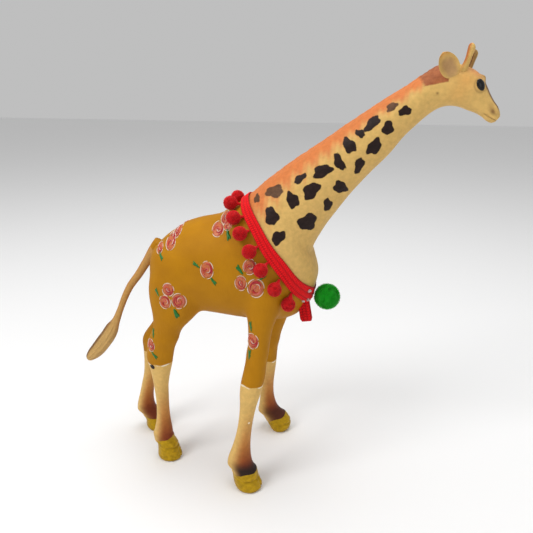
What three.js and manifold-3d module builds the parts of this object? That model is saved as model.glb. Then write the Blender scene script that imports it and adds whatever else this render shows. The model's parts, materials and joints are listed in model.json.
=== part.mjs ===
// A standing toy giraffe in soft vinyl, painted by hand and dressed with a pom-pom trim.
// Millimetres, +Z up, nose towards +X, its right flank towards -Y.
import * as THREE from 'three';
import { mergeVertices } from 'three/addons/utils/BufferGeometryUtils.js';
import Module from 'manifold-3d';

// ---- driving dimensions ----
const WALL = 2.2;            // thickness of the hollow mouldings
const GAP = 0.3;             // clearance between pieces that touch
const SIDES = 24;            // facets round the trunk and neck
const LEG_SIDES = 14;        // facets round a leg
const LEG_JOIN_Z = 106;      // level, under the belly, where the legs plug into the trunk
const PEG_RADIUS = 4.2;      // pegs on the legs
const PEG_LENGTH = 7;
const SPIGOT_LENGTH = 9;     // how far the neck reaches into the trunk
const HEAD_TURN = THREE.MathUtils.degToRad(10);   // the head looks slightly to its right
const POLL_X = 142;          // the head turns about a vertical line here
const BRAID_WIDTH = 7.8;
const BRAID_THICKNESS = 1.6;
const BRAID_END = [7.8, 3.4, 11];   // the folded end: width, thickness, drop
const BRAID_END_ANGLE = 174; // degrees from the withers to each cut end of the braid
const POM_RADIUS = 4.6;
const POM_BACK = 9;          // from the middle of the braid back to a pom-pom's centre
const POM_ANGLES = [17, 39, 56, 73, 90, 109, 129];   // degrees from the withers, on each side
const STEM_RADIUS = 0.9;
const STEM_SETBACK = STEM_RADIUS + GAP;   // from the braid's edge to a stem's root, so that it can swing
const STEM_LIFT = 0.2;       // of the stem's underside above the gap over the trunk
const GREEN_POM_RADIUS = 8.7;

// The trunk and the neck are drawn by their outline in the mirror plane.
// Each station is [top x, top z, bottom x, bottom z, half width].
const TRUNK = [
  [-39, 160.5, -41.5, 149, 9],
  [-35, 164.3, -41, 140, 16],
  [-30, 169, -36, 131, 21],
  [-23, 174, -28, 124, 24.5],
  [-15.5, 178.6, -17, 118.8, 27],
  [-7, 181.6, -3, 116.2, 28.8],
  [1, 183.4, 12, 115, 30],
  [7, 185, 28, 114, 30],
  [11, 187.2, 45, 113.8, 29.5],
  [14, 189, 61, 119.5, 27.8],
  [26, 196.8, 69.4, 133.2, 24.3],
];
const NECK = [
  [26, 196.8, 69.4, 133.2, 24.3],
  [30.5, 200.6, 73, 148, 23.6],
  [34.5, 204, 70.8, 158.5, 22],
  [40, 208.8, 69.3, 166, 20],
  [50.8, 217.2, 76, 179.5, 17.8],
  [61, 224.6, 83, 190, 16.2],
  [72.9, 232.7, 92, 202.5, 14.8],
  [85, 241.4, 102.5, 215, 13.3],
  [98, 250.4, 113, 226.4, 12],
  [110, 258.6, 121, 237, 10.8],
  [121, 265.4, 127.5, 243.8, 9.9],
  [129.5, 271.5, 131.5, 247.7, 9.5],
  [137, 276.4, 135.5, 251, 9.6],
  [145, 277.6, 139.5, 253.4, 9.9],
  [152, 276, 143.5, 254.6, 10.2],
  [157.3, 273.6, 148, 254.6, 10.3],
  [161.2, 270, 151.5, 253.8, 9.9],
  [163.8, 265.7, 155, 252.5, 8.6],
  [166, 261.6, 158.7, 251.3, 7.4],
  [168.4, 257.8, 162.3, 249.5, 6.7],
  [170.6, 255, 165.3, 247.2, 6.6],
  [172, 252.2, 168, 246, 6.1],
  [172.5, 249.8, 170.3, 246.6, 4.6],
];
// A leg's stations are level: [z, rear x, front x, middle y, half width].
const LEGS = {
  leg_front_right: [
    [106, 31.0, 46.3, -24.6, 7.6],
    [99, 30.5, 45.2, -25.8, 7.2],
    [91, 29.7, 44, -27, 6.9],
    [84, 28.4, 43.1, -28.2, 7],
    [77, 27.1, 42, -29.4, 6.8],
    [70, 26.7, 40.5, -30.6, 6.3],
    [62, 27, 38.2, -31.9, 5.6],
    [52, 26.4, 36.2, -33.2, 5],
    [42, 24.9, 35, -34.4, 4.9],
    [33, 22.6, 34.6, -35.2, 5.1],
    [26, 20.3, 35, -35.7, 5.7],
    [20.5, 18.8, 36, -36, 6.5],
    [17, 20, 37.6, -36, 7],
    [14, 21.8, 39.2, -36, 7.6],
    [8, 22.7, 40.8, -36, 8.3],
    [3, 23.6, 42.6, -36, 8.8],
    [1, 24.8, 42.2, -36, 8.5],
    [0, 26, 40.6, -36, 7.7],
  ],
  leg_front_left: [
    [106, 33.6, 49.9, 24.6, 7.6],
    [99, 31.8, 47, 25.8, 7.2],
    [91, 29.9, 44.2, 27, 6.9],
    [84, 28.4, 42.2, 28.2, 7],
    [77, 27.4, 40.9, 29.4, 6.8],
    [70, 27, 40.1, 30.6, 6.3],
    [62, 27.2, 39.3, 31.9, 5.6],
    [52, 27.4, 38, 33.2, 5],
    [42, 26.6, 36.8, 34.4, 4.9],
    [33, 26, 36.6, 35.2, 5.1],
    [26, 25.6, 37.6, 35.7, 5.7],
    [20, 24.8, 39.6, 36, 6.5],
    [16, 24.4, 43.2, 36, 7],
    [13, 26.6, 47.4, 36, 7.6],
    [9, 30, 50.2, 36, 8.3],
    [4.5, 32.6, 50.6, 36, 8.8],
    [1.5, 34.2, 49.4, 36, 8.5],
    [0, 35.8, 47.4, 36, 7.7],
  ],
  leg_hind_right: [
    [106, -38.4, -17.2, -17.6, 8.8],
    [99, -41, -20, -17.6, 8.3],
    [92, -43, -23.2, -17.4, 7.6],
    [85, -43.8, -24.9, -17.2, 7],
    [78, -43, -26.3, -17, 6.4],
    [70, -41.8, -28.4, -16.8, 5.6],
    [61, -40.8, -30.1, -16.6, 5],
    [50, -40, -30.6, -16.5, 4.6],
    [40, -40, -30.7, -16.5, 4.6],
    [32, -40.7, -30.3, -16.5, 4.9],
    [25, -42.2, -29.4, -16.5, 5.5],
    [19.5, -43.4, -29, -16.5, 6.2],
    [16, -43.2, -28, -16.5, 6.7],
    [12.5, -41, -25.8, -16.5, 7.1],
    [7.5, -40.6, -24.4, -16.5, 7.6],
    [3, -41.2, -23.2, -16.5, 7.9],
    [1, -40.4, -23.2, -16.5, 7.6],
    [0, -39.2, -24.6, -16.5, 6.9],
  ],
  leg_hind_left: [
    [106, -45.2, -24.5, 17.6, 8.8],
    [99, -50, -28.6, 17.6, 8.3],
    [92, -55, -34.5, 17.4, 7.6],
    [85, -59.6, -40, 17.2, 7],
    [78, -62.6, -44.4, 17, 6.4],
    [70, -62.6, -48.2, 16.8, 5.6],
    [61, -62.6, -51.2, 16.6, 5],
    [50, -63.6, -53.6, 16.4, 4.6],
    [41, -65.8, -55.8, 16.3, 4.6],
    [33, -67.8, -57.2, 16.3, 4.9],
    [26, -69.8, -57.6, 16.3, 5.5],
    [20, -71.2, -56.8, 16.3, 6.2],
    [16.5, -70.6, -54.6, 16.3, 6.7],
    [13, -67, -51.2, 16.3, 7.1],
    [8, -64.4, -48.2, 16.3, 7.6],
    [3.5, -64.6, -46.8, 16.3, 7.9],
    [1, -63.6, -46.8, 16.3, 7.6],
    [0, -62.2, -48.2, 16.3, 6.9],
  ],
};
// The shoulders and thighs, which belong to the trunk, go on upwards from the legs.
const MUSCLES = [
  [[106, 31.0, 46.3, -24.6, 7.6], [113, 31, 47.2, -24, 8.2], [121, 30.4, 49.4, -23, 9],
    [130, 29, 52.4, -21, 9.6], [142, 28, 56, -18.5, 9.4], [152, 32, 52, -17, 7]],
  [[106, 33.6, 49.9, 24.6, 7.6], [113, 33.4, 52, 24, 8.2], [121, 32, 53, 23, 9],
    [130, 30, 55, 21, 9.6], [142, 29, 57, 18.5, 9.4], [152, 33, 52, 17, 7]],
  [[106, -38.4, -17.2, -17.6, 8.8], [112, -37.4, -11.8, -17.6, 9.6], [119, -38, -5.4, -17.2, 10.6],
    [129, -40, -1, -16, 11.6], [142, -39.4, -2, -14.6, 11.6], [154, -34, -8, -13, 8]],
  [[106, -45.2, -24.5, 17.6, 8.8], [112, -42.6, -16, 17.6, 9.6], [119, -41.4, -8, 17.2, 10.6],
    [129, -40.6, -2, 16, 11.6], [142, -39.4, -2, 14.6, 11.6], [154, -34, -8, 13, 8]],
];
// The tail's stations: [x, z, half thickness in the mirror plane, half width across it].
const TAIL = [
  [-36, 162, 5, 5],
  [-41, 156, 4.4, 4.4],
  [-47.5, 147.4, 3.1, 3],
  [-54, 137.9, 2.8, 2.6],
  [-61.4, 128.2, 2.6, 2.4],
  [-66.7, 118.5, 2.4, 2.2],
  [-71, 108.8, 2.3, 2.1],
  [-75.2, 99.6, 3, 2.3],
  [-79.4, 92.4, 4.6, 2.6],
  [-84.4, 84.6, 5.2, 2.7],
  [-90.4, 77, 5, 2.6],
  [-96, 70.9, 4.3, 2.3],
  [-100.2, 66.4, 2.7, 1.7],
];

// ---- colours and finishes ----
const finish = (color, roughness, metalness = 0) =>
  new THREE.MeshStandardMaterial({ color, roughness, metalness });
const OCHRE = finish(0xb9790f, 0.75);
const CREAM = finish(0xd9bd84, 0.55);
const BLACK = finish(0x0b0a0a, 0.15);
const RED = finish(0xc4101c, 0.95);
const GREEN = finish(0x0c8a26, 0.95);

// ---- geometry helpers ----
const wasm = await Module();
wasm.setup();

function solidOf(geometry) {
  const bare = geometry.clone();
  bare.deleteAttribute('normal');
  bare.deleteAttribute('uv');
  const merged = mergeVertices(bare, 1e-4);
  return new wasm.Manifold(new wasm.Mesh({
    numProp: 3,
    vertProperties: new Float32Array(merged.attributes.position.array),
    triVerts: new Uint32Array(merged.index.array),
  }));
}

function geometryOf(solid) {
  const mesh = solid.getMesh();
  const geometry = new THREE.BufferGeometry();
  geometry.setAttribute('position', new THREE.BufferAttribute(mesh.vertProperties, 3));
  geometry.setIndex(new THREE.BufferAttribute(mesh.triVerts, 1));
  geometry.computeVertexNormals();
  return geometry;
}

// Extra stations on a smooth curve through the given ones, `steps` to each gap.
function smooth(stations, steps) {
  const out = [];
  const last = stations.length - 1;
  for (let i = 0; i < last; i += 1) {
    for (let k = 0; k < steps; k += 1) {
      const t = k / steps;
      const [a, b, c, d] = [i - 1, i, i + 1, i + 2].map((j) => stations[Math.min(last, Math.max(0, j))]);
      out.push(b.map((value, n) => 0.5 * (2 * value + (c[n] - a[n]) * t
        + (2 * a[n] - 5 * value + 4 * c[n] - d[n]) * t * t
        + (3 * value - a[n] - 3 * c[n] + d[n]) * t * t * t)));
    }
  }
  out.push(stations[last]);
  return out;
}

// An oval ring across the body, `grow` mm outside the station's outline; angle 0 is the top.
function bodyPoint([topX, topZ, bottomX, bottomZ, halfWidth], angle, grow = 0) {
  const height = Math.hypot(topX - bottomX, topZ - bottomZ);
  const up = Math.cos(angle) * (height / 2 + grow) / height;
  return new THREE.Vector3(
    (topX + bottomX) / 2 + up * (topX - bottomX),
    -Math.sin(angle) * (halfWidth + grow),
    (topZ + bottomZ) / 2 + up * (topZ - bottomZ),
  );
}

const bodyRing = (station, grow, count = SIDES) => Array.from({ length: count },
  (_, k) => bodyPoint(station, (2 * Math.PI * k) / count, grow));

const levelRing = ([z, rear, front, middle, halfWidth]) => Array.from({ length: LEG_SIDES }, (_, k) => {
  const angle = (2 * Math.PI * k) / LEG_SIDES;
  const reach = (front - rear) / 2;
  return new THREE.Vector3((rear + front) / 2 + reach * Math.cos(angle), middle + halfWidth * Math.sin(angle), z);
});

// A closed skin over a row of rings with equal counts, each end closed by a fan round its middle.
function skin(rings) {
  const count = rings[0].length;
  const points = rings.flat();
  for (const end of [rings[0], rings[rings.length - 1]]) {
    points.push(end.reduce((sum, p) => sum.add(p), new THREE.Vector3()).divideScalar(count));
  }
  const first = rings.length * count;
  const index = [];
  for (let k = 0; k < count; k += 1) {
    const next = (k + 1) % count;
    for (let r = 0; r < rings.length - 1; r += 1) {
      const [a, b, c, d] = [r * count + k, r * count + next, (r + 1) * count + next, (r + 1) * count + k];
      index.push(a, b, c, a, c, d);
    }
    const end = (rings.length - 1) * count;
    index.push(first, next, k, first + 1, end + k, end + next);
  }
  const turnedOut = volume(points, index) > 0 ? index : index.reverse();
  const geometry = new THREE.BufferGeometry().setFromPoints(points);
  geometry.setIndex(turnedOut);
  return geometry;
}

function volume(points, index) {
  let sum = 0;
  for (let i = 0; i < index.length; i += 3) {
    const [a, b, c] = [points[index[i]], points[index[i + 1]], points[index[i + 2]]];
    sum += a.dot(new THREE.Vector3().crossVectors(b, c));
  }
  return sum;
}

// A round peg from one point to another.
function peg(from, to, radius, sides = 12) {
  const along = new THREE.Vector3().subVectors(to, from);
  const geometry = new THREE.CylinderGeometry(radius, radius, along.length(), sides);
  const turn = new THREE.Quaternion().setFromUnitVectors(new THREE.Vector3(0, 1, 0), along.clone().normalize());
  geometry.applyQuaternion(turn);
  const middle = from.clone().add(to).multiplyScalar(0.5);
  geometry.translate(middle.x, middle.y, middle.z);
  return solidOf(geometry);
}

// The head turned towards -Y, fading out down the neck.
function turned(point) {
  const fade = THREE.MathUtils.smoothstep(point.x, POLL_X - 14, POLL_X + 8);
  const angle = fade * HEAD_TURN;
  const [dx, dy] = [point.x - POLL_X, point.y];
  return new THREE.Vector3(
    POLL_X + dx * Math.cos(angle) + dy * Math.sin(angle),
    -dx * Math.sin(angle) + dy * Math.cos(angle),
    point.z,
  );
}

const lerpStation = (a, b, t) => a.map((value, n) => value + (b[n] - value) * t);

const object = new THREE.Group();
function add(name, solid, material) {
  const mesh = new THREE.Mesh(geometryOf(solid), material);
  mesh.name = name;
  object.add(mesh);
}

// ---- the collar line, where the neck plugs into the trunk and the braid goes round ----
const collar = TRUNK[TRUNK.length - 1];
const behind = TRUNK[TRUNK.length - 2];
const collarDown = new THREE.Vector3(collar[2] - collar[0], 0, collar[3] - collar[1]).normalize();
const collarOut = new THREE.Vector3(-collarDown.z, 0, collarDown.x);   // up the neck
const middleOf = ([topX, topZ, bottomX, bottomZ]) =>
  new THREE.Vector3((topX + bottomX) / 2, 0, (topZ + bottomZ) / 2);
const behindDistance = collarOut.dot(middleOf(collar).sub(middleOf(behind)));
const beyondDistance = collarOut.dot(middleOf(NECK[1]).sub(middleOf(collar)));

// A station of the skin `distance` mm up the neck (or down the trunk, if negative) from the collar line.
const nearCollar = (distance) => (distance > 0
  ? lerpStation(collar, NECK[1], distance / beyondDistance)
  : lerpStation(collar, behind, -distance / behindDistance));

// ---- trunk: a hollow moulding, open at the collar line, with a socket for each leg and the tail ----
const trunkStations = smooth(TRUNK, 2);
const trunkSkin = (grow) => skin(trunkStations.map((station) => bodyRing(station, grow)));
const hollowStations = [...TRUNK.slice(1), nearCollar(3)];
const trunkHollow = solidOf(skin(hollowStations.map((station) => bodyRing(station, -WALL))));

const tailStart = new THREE.Vector3(TAIL[1][0], 0, TAIL[1][1]);
const tailPegEnd = new THREE.Vector3(TAIL[0][0] + 3, 0, TAIL[0][1] - 6);
const TAIL_PEG_RADIUS = 2.4;

let trunk = solidOf(trunkSkin(0));
for (const stations of MUSCLES) {
  const raised = [[LEG_JOIN_Z + GAP / 2, ...stations[0].slice(1)], ...stations.slice(1)];
  trunk = trunk.add(solidOf(skin(raised.map(levelRing))));
}
trunk = trunk.subtract(trunkHollow);
for (const stations of Object.values(LEGS)) {
  const [, rear, front, middle] = stations[0];
  const foot = new THREE.Vector3((rear + front) / 2, middle, LEG_JOIN_Z - 1);
  const top = foot.clone().setZ(LEG_JOIN_Z + PEG_LENGTH + GAP);
  trunk = trunk.subtract(peg(foot, top, PEG_RADIUS + GAP));
}
trunk = trunk.subtract(peg(tailStart, tailPegEnd, TAIL_PEG_RADIUS + GAP));
add('trunk', trunk, OCHRE);

// ---- legs: solid mouldings, each with a flat top, a peg and a flat sole ----
for (const [name, stations] of Object.entries(LEGS)) {
  const rings = [[LEG_JOIN_Z - GAP / 2, ...stations[0].slice(1)], ...stations.slice(1)];
  const [, rear, front, middle] = stations[0];
  const foot = new THREE.Vector3((rear + front) / 2, middle, LEG_JOIN_Z - 4);
  const top = foot.clone().setZ(LEG_JOIN_Z + PEG_LENGTH);
  add(name, solidOf(skin(rings.map(levelRing))).add(peg(foot, top, PEG_RADIUS)), CREAM);
}

// ---- tail ----
function tailRing([x, z, thick, wide], [nextX, nextZ]) {
  const along = new THREE.Vector2(nextX - x, nextZ - z).normalize();
  return Array.from({ length: 12 }, (_, k) => {
    const angle = (2 * Math.PI * k) / 12;
    const across = thick * Math.cos(angle);
    return new THREE.Vector3(x - along.y * across, wide * Math.sin(angle), z + along.x * across);
  });
}
const tailRings = TAIL.map((station, i) => {
  const ahead = TAIL[i + 1] ?? station.map((value, n) => 2 * value - TAIL[i - 1][n]);
  return tailRing(station, ahead);
});
const tail = solidOf(skin(tailRings)).subtract(solidOf(trunkSkin(GAP)));
add('tail', tail.add(peg(tailStart, tailPegEnd, TAIL_PEG_RADIUS)), CREAM);

// ---- neck and head: one hollow moulding with a spigot that enters the trunk ----
const turnedRing = (station, grow) => bodyRing(station, grow).map(turned);
const neckSkin = (grow) => skin(NECK.map((station, i) => turnedRing(
  i === 0 ? nearCollar(GAP) : station, grow)));
const spigotGrow = -WALL - GAP - 0.1;
const spigot = skin([nearCollar(4), nearCollar(GAP), nearCollar(-SPIGOT_LENGTH / 2), nearCollar(-SPIGOT_LENGTH)]
  .map((station) => bodyRing(station, spigotGrow)));
const neckBore = skin([nearCollar(-SPIGOT_LENGTH - 2), ...NECK.slice(0, 9)]
  .map((station) => bodyRing(station, spigotGrow - WALL)));

// Pieces that plug into the head, given before the head is turned; side is -1 (right) or 1 (left).
const EAR = { root: [146.6, 8.6, 270.4], tip: [139, 15.4, 282.6], width: 11, thickness: 2.4 };
const HORNS = {
  '-1': { name: 'horn_right', root: [149.3, -4.8, 273.8], tip: [154.3, -6.4, 287.6] },
  1: { name: 'horn_left', root: [150.6, 4.6, 272.6], tip: [154.2, 5.6, 284] },
};
const HORN_RADIUS = 2;
const EYE = { centre: [160.9, 6.9, 266.3], radii: [2.4, 1.6, 3.3], tilt: 0.65 };
const point = ([x, y, z], side = 1) => turned(new THREE.Vector3(x, y * side, z));
const between = (a, b, t) => a.clone().lerp(b, t);

function eyeSolid(side, grow) {
  const geometry = new THREE.SphereGeometry(1, 10, 7);
  geometry.scale(EYE.radii[0] + grow, EYE.radii[1] + grow, EYE.radii[2] + grow);
  geometry.rotateY(-EYE.tilt);
  const centre = point(EYE.centre, side);
  geometry.translate(centre.x, centre.y, centre.z);
  return solidOf(geometry);
}

// An ear is a thin leaf: each ring across it is a flat oval, widest above the middle.
function earSolid(side) {
  const [root, tip] = [point(EAR.root, side), point(EAR.tip, side)];
  const axis = new THREE.Vector3().subVectors(tip, root);
  const across = new THREE.Vector3().crossVectors(axis, new THREE.Vector3(0, side, 0)).normalize();
  const face = new THREE.Vector3().crossVectors(across, axis).normalize();
  const rings = [];
  for (let i = 0; i <= 8; i += 1) {
    const t = -0.25 + (1.23 * i) / 8;
    const bulge = Math.sqrt(Math.max(0.02, 1 - ((t - 0.52) / 0.5) ** 2));
    const half = (EAR.width / 2) * Math.max(t < 0.3 ? 0.34 : 0, t > 0.02 ? bulge : 0);
    rings.push(Array.from({ length: 12 }, (_, k) => {
      const angle = (2 * Math.PI * k) / 12;
      return between(root, tip, t)
        .addScaledVector(across, half * Math.cos(angle))
        .addScaledVector(face, (EAR.thickness / 2) * Math.sin(angle));
    }));
  }
  return solidOf(skin(rings));
}

function hornSolid({ root, tip }) {
  const [low, high] = [point(root), point(tip)];
  const along = new THREE.Vector3().subVectors(high, low);
  const profile = [[0, -0.2], [1, -0.2], [1, 0.1], [0.9, 0.45], [1, 0.78], [0.72, 0.94], [0, 1]];
  const geometry = new THREE.LatheGeometry(
    profile.map(([r, t]) => new THREE.Vector2(r * HORN_RADIUS, t * along.length())), 12);
  geometry.applyQuaternion(new THREE.Quaternion().setFromUnitVectors(
    new THREE.Vector3(0, 1, 0), along.clone().normalize()));
  geometry.translate(low.x, low.y, low.z);
  return solidOf(geometry);
}

const PLUG_RADIUS = 1.2;
const PLUG_DEPTH = 4.5;
// A plug runs from inside the ear or horn, through its root, into the head.
function plugEnds(root, tip) {
  return [between(root, tip, 0.35), new THREE.Vector3(root.x - 1, root.y * 0.5, root.z - PLUG_DEPTH)];
}

let head = solidOf(neckSkin(0)).add(solidOf(spigot)).subtract(solidOf(neckBore));
const headClear = solidOf(neckSkin(GAP));
for (const side of [-1, 1]) {
  const sideName = side < 0 ? 'right' : 'left';
  head = head.subtract(eyeSolid(side, GAP));
  add(`eye_${sideName}`, eyeSolid(side, 0), BLACK);
  for (const [name, root, tip, blade] of [
    [`ear_${sideName}`, point(EAR.root, side), point(EAR.tip, side), earSolid(side)],
    [HORNS[side].name, point(HORNS[side].root), point(HORNS[side].tip), hornSolid(HORNS[side])],
  ]) {
    const [outer, inner] = plugEnds(root, tip);
    head = head.subtract(peg(outer, inner, PLUG_RADIUS + GAP, 10));
    add(name, blade.subtract(headClear).add(peg(outer, inner, PLUG_RADIUS, 10)), CREAM);
  }
}
add('neck_and_head', head, CREAM);

// ---- pom-pom trim: a woven braid glued round the collar line ----
const angles = Array.from({ length: 49 }, (_, k) =>
  THREE.MathUtils.degToRad(-BRAID_END_ANGLE + (2 * BRAID_END_ANGLE * k) / 48));
const braidRings = angles.map((angle) => {
  const half = BRAID_WIDTH / 2;
  const low = nearCollar(-half);
  const high = nearCollar(half);
  const outside = GAP + BRAID_THICKNESS;
  return [
    bodyPoint(low, angle, GAP), bodyPoint(high, angle, GAP),
    bodyPoint(high, angle, outside), bodyPoint(low, angle, outside),
  ];
});
const braid = solidOf(skin(braidRings)).subtract(solidOf(trunkSkin(GAP / 2)))
  .subtract(solidOf(neckSkin(GAP / 2)));
add('braid', braid, RED);

// ---- red pom-poms, each on a short yarn stem at the braid's rear edge ----
function trianglesOf(solid) {
  const { vertProperties, triVerts } = solid.getMesh();
  const corner = (i) => new THREE.Vector3().fromArray(vertProperties, 3 * triVerts[i]);
  return Array.from({ length: triVerts.length / 3 }, (_, i) =>
    new THREE.Triangle(corner(3 * i), corner(3 * i + 1), corner(3 * i + 2)));
}

const trunkTriangles = trianglesOf(trunk);
const dressedTriangles = [trunk, head, braid].flatMap(trianglesOf);

// Moves a ball's centre along `out` until the ball lies on the given surface with a gap.
function restOn(triangles, start, out, radius) {
  const nearest = new THREE.Vector3();
  let centre = start;
  for (let step = 0; step < 80; step += 1) {
    centre = start.clone().addScaledVector(out, 0.2 * step);
    const touches = triangles.some((triangle) =>
      triangle.closestPointToPoint(centre, nearest).distanceTo(centre) < radius + GAP);
    if (!touches) break;
  }
  return centre;
}

let number = 0;
for (const side of [1, -1]) {
  for (const degrees of POM_ANGLES) {
    number += 1;
    const name = `pompom_${String(number).padStart(2, '0')}`;
    const angle = THREE.MathUtils.degToRad(degrees) * side;
    const edge = bodyPoint(nearCollar(-BRAID_WIDTH / 2 - STEM_SETBACK), angle, GAP + STEM_RADIUS + STEM_LIFT);
    const out = bodyPoint(nearCollar(-POM_BACK), angle, 1).sub(bodyPoint(nearCollar(-POM_BACK), angle, 0));
    const centre = restOn(trunkTriangles, bodyPoint(nearCollar(-POM_BACK), angle, 2), out, POM_RADIUS);
    const ball = new THREE.SphereGeometry(POM_RADIUS, 12, 8);
    ball.translate(centre.x, centre.y, centre.z);
    const stemEnd = between(edge, centre, 0.75);
    add(name, solidOf(ball).subtract(peg(edge, between(edge, centre, 0.85), STEM_RADIUS + GAP, 8)), RED);
    add(`${name}_stem`, peg(edge, stemEnd, STEM_RADIUS, 8), RED);
  }
}

// ---- green pom-pom, glued over the place where the ends of the braid meet ----
const chest = bodyPoint(nearCollar(0), Math.PI, 0);
const greenCentre = restOn(dressedTriangles, chest.clone().setY(-3), new THREE.Vector3(1, 0, 0), GREEN_POM_RADIUS);
const greenBall = new THREE.SphereGeometry(GREEN_POM_RADIUS, 14, 10);
greenBall.translate(greenCentre.x, greenCentre.y, greenCentre.z);
add('pompom_green', solidOf(greenBall), GREEN);

// ---- the braid's spare end, folded double and glued so that it hangs below the green pom-pom ----
const foldMiddle = restOn(dressedTriangles, chest.clone().add(new THREE.Vector3(-4, -6, -9)),
  new THREE.Vector3(0.3, -0.9, -0.3).normalize(), BRAID_END[1] / 2 + 2.2);
const fold = new THREE.BoxGeometry(...BRAID_END);
fold.rotateX(0.35);
fold.rotateY(0.25);
fold.translate(foldMiddle.x, foldMiddle.y, foldMiddle.z);
add('braid_end', solidOf(fold).subtract(solidOf(trunkSkin(GAP))), RED);

// ---- stand the figure on Z = 0 with the middle of its box over the origin ----
const box = new THREE.Box3().setFromObject(object);
object.position.set(-(box.min.x + box.max.x) / 2, -(box.min.y + box.max.y) / 2, -box.min.z);
object.updateMatrixWorld(true);

export default object;
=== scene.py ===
"""A painted soft vinyl giraffe with a pom-pom collar, standing on a pale table."""
import json
import math

import bmesh
import bpy
import numpy as np
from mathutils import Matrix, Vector
from mathutils.bvhtree import BVHTree


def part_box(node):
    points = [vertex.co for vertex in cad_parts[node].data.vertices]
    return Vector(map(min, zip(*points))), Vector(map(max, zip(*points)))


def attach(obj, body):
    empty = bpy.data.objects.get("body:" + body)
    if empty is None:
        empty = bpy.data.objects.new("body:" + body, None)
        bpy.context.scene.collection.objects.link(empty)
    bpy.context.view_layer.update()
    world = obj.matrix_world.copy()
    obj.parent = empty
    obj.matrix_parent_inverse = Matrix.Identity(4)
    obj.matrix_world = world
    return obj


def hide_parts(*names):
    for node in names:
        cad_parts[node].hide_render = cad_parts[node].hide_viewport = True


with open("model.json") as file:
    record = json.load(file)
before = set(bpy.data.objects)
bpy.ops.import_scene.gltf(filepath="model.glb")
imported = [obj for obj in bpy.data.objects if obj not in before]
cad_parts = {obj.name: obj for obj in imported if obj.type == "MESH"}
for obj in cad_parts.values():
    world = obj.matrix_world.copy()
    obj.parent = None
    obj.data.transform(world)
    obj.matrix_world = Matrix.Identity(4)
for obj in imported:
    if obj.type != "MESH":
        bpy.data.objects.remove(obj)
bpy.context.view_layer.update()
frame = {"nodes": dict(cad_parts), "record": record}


# ---------------------------------------------------------------------------
# Camera, table and studio light. The figure is seen from its right side, a
# little from the front, from about the height of its head and looking down.
# ---------------------------------------------------------------------------
MM = 0.001
LENS = 37.82
SENSOR_WIDTH = 36.0
CAMERA_PLACE = Vector((76.9, -346.3, 272.0)) * MM
CAMERA_PITCH = math.radians(19.0)
CAMERA_HEADING = math.radians(12.0)
TABLE_SIZE = 6.0
TABLE_GREY = (0.88, 0.88, 0.88, 1)
SKY_STRENGTH = 0.52
LAMP_AIM = Vector((0, 0, 0.15))

scene = bpy.context.scene
scene.view_settings.view_transform = "Standard"
camera = bpy.data.objects.new("camera", bpy.data.cameras.new("camera"))
scene.collection.objects.link(camera)
camera.data.sensor_width = SENSOR_WIDTH
camera.data.lens = LENS
camera.data.clip_start = 0.01
camera.location = CAMERA_PLACE
camera.rotation_euler = (math.pi / 2 - CAMERA_PITCH, 0.0, CAMERA_HEADING)
scene.camera = camera


def new_material(name):
    """A material with nodes, its node tree and its Principled shader."""
    material = bpy.data.materials.new(name)
    material.use_nodes = True
    return material, material.node_tree, material.node_tree.nodes["Principled BSDF"]


bpy.ops.mesh.primitive_plane_add(size=TABLE_SIZE, location=(0, 0, 0))
table = bpy.context.object
table.name = "table"
table_paint, _, table_shader = new_material("table_paint")
table_shader.inputs["Base Color"].default_value = TABLE_GREY
table_shader.inputs["Roughness"].default_value = 0.9
table.data.materials.append(table_paint)

world = bpy.data.worlds.new("studio")
world.use_nodes = True
sky = world.node_tree.nodes["Background"]
sky.inputs["Color"].default_value = (1.0, 1.0, 1.0, 1)
sky.inputs["Strength"].default_value = SKY_STRENGTH
scene.world = world

# Each lamp's name, place, width and power, in metres and watts.
LAMPS = (
    ("key", (-0.55, -0.60, 0.95), 0.55, 6.0),
    ("top", (0.05, 0.10, 1.10), 0.70, 5.0),
    ("front", (0.75, -0.70, 0.45), 0.60, 0.8),
)
for lamp_name, place, size, watts in LAMPS:
    lamp = bpy.data.lights.new(lamp_name, "AREA")
    lamp.shape = "DISK"
    lamp.size = size
    lamp.energy = watts
    holder = bpy.data.objects.new(lamp_name, lamp)
    holder.location = place
    holder.rotation_euler = (LAMP_AIM - Vector(place)).to_track_quat("-Z", "Y").to_euler()
    scene.collection.objects.link(holder)


# ---------------------------------------------------------------------------
# The body: a hollow vinyl moulding for the trunk and one moulding for each
# leg, plugged in under the belly. The joins are filled and painted over, so
# the five mouldings are cut from one continuous skin.
# ---------------------------------------------------------------------------
SOLE_MIDDLE = 33.3        # the right front sole's middle, in the outline's own x
SOLES = {mount["name"]: mount["pos_m"] for mount in frame["record"]["mounts"]}
AHEAD = SOLES["sole_front_right"][0] / MM - SOLE_MIDDLE
LEG_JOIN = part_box("trunk")[0][2] / MM
BODY_VOXEL = 0.62

# The outline in the mirror plane: top x, top z, bottom x, bottom z, half width.
# The first row only rounds the rump off behind the moulding's last station.
TRUNK = np.array([
    (-40.5, 158, -42, 152, 4), (-39, 160.5, -41.5, 149, 9), (-35, 164.3, -41, 140, 16),
    (-30, 169, -36, 131, 21), (-23, 174, -28, 124, 24.5), (-15.5, 178.6, -17, 118.8, 27),
    (-7, 181.6, -3, 116.2, 28.8), (1, 183.4, 12, 115, 30), (7, 185, 28, 114, 30),
    (11, 187.2, 45, 113.8, 29.5), (14, 189, 61, 119.5, 27.8), (26, 196.8, 69.4, 133.2, 24.3)], dtype=float)
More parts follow.
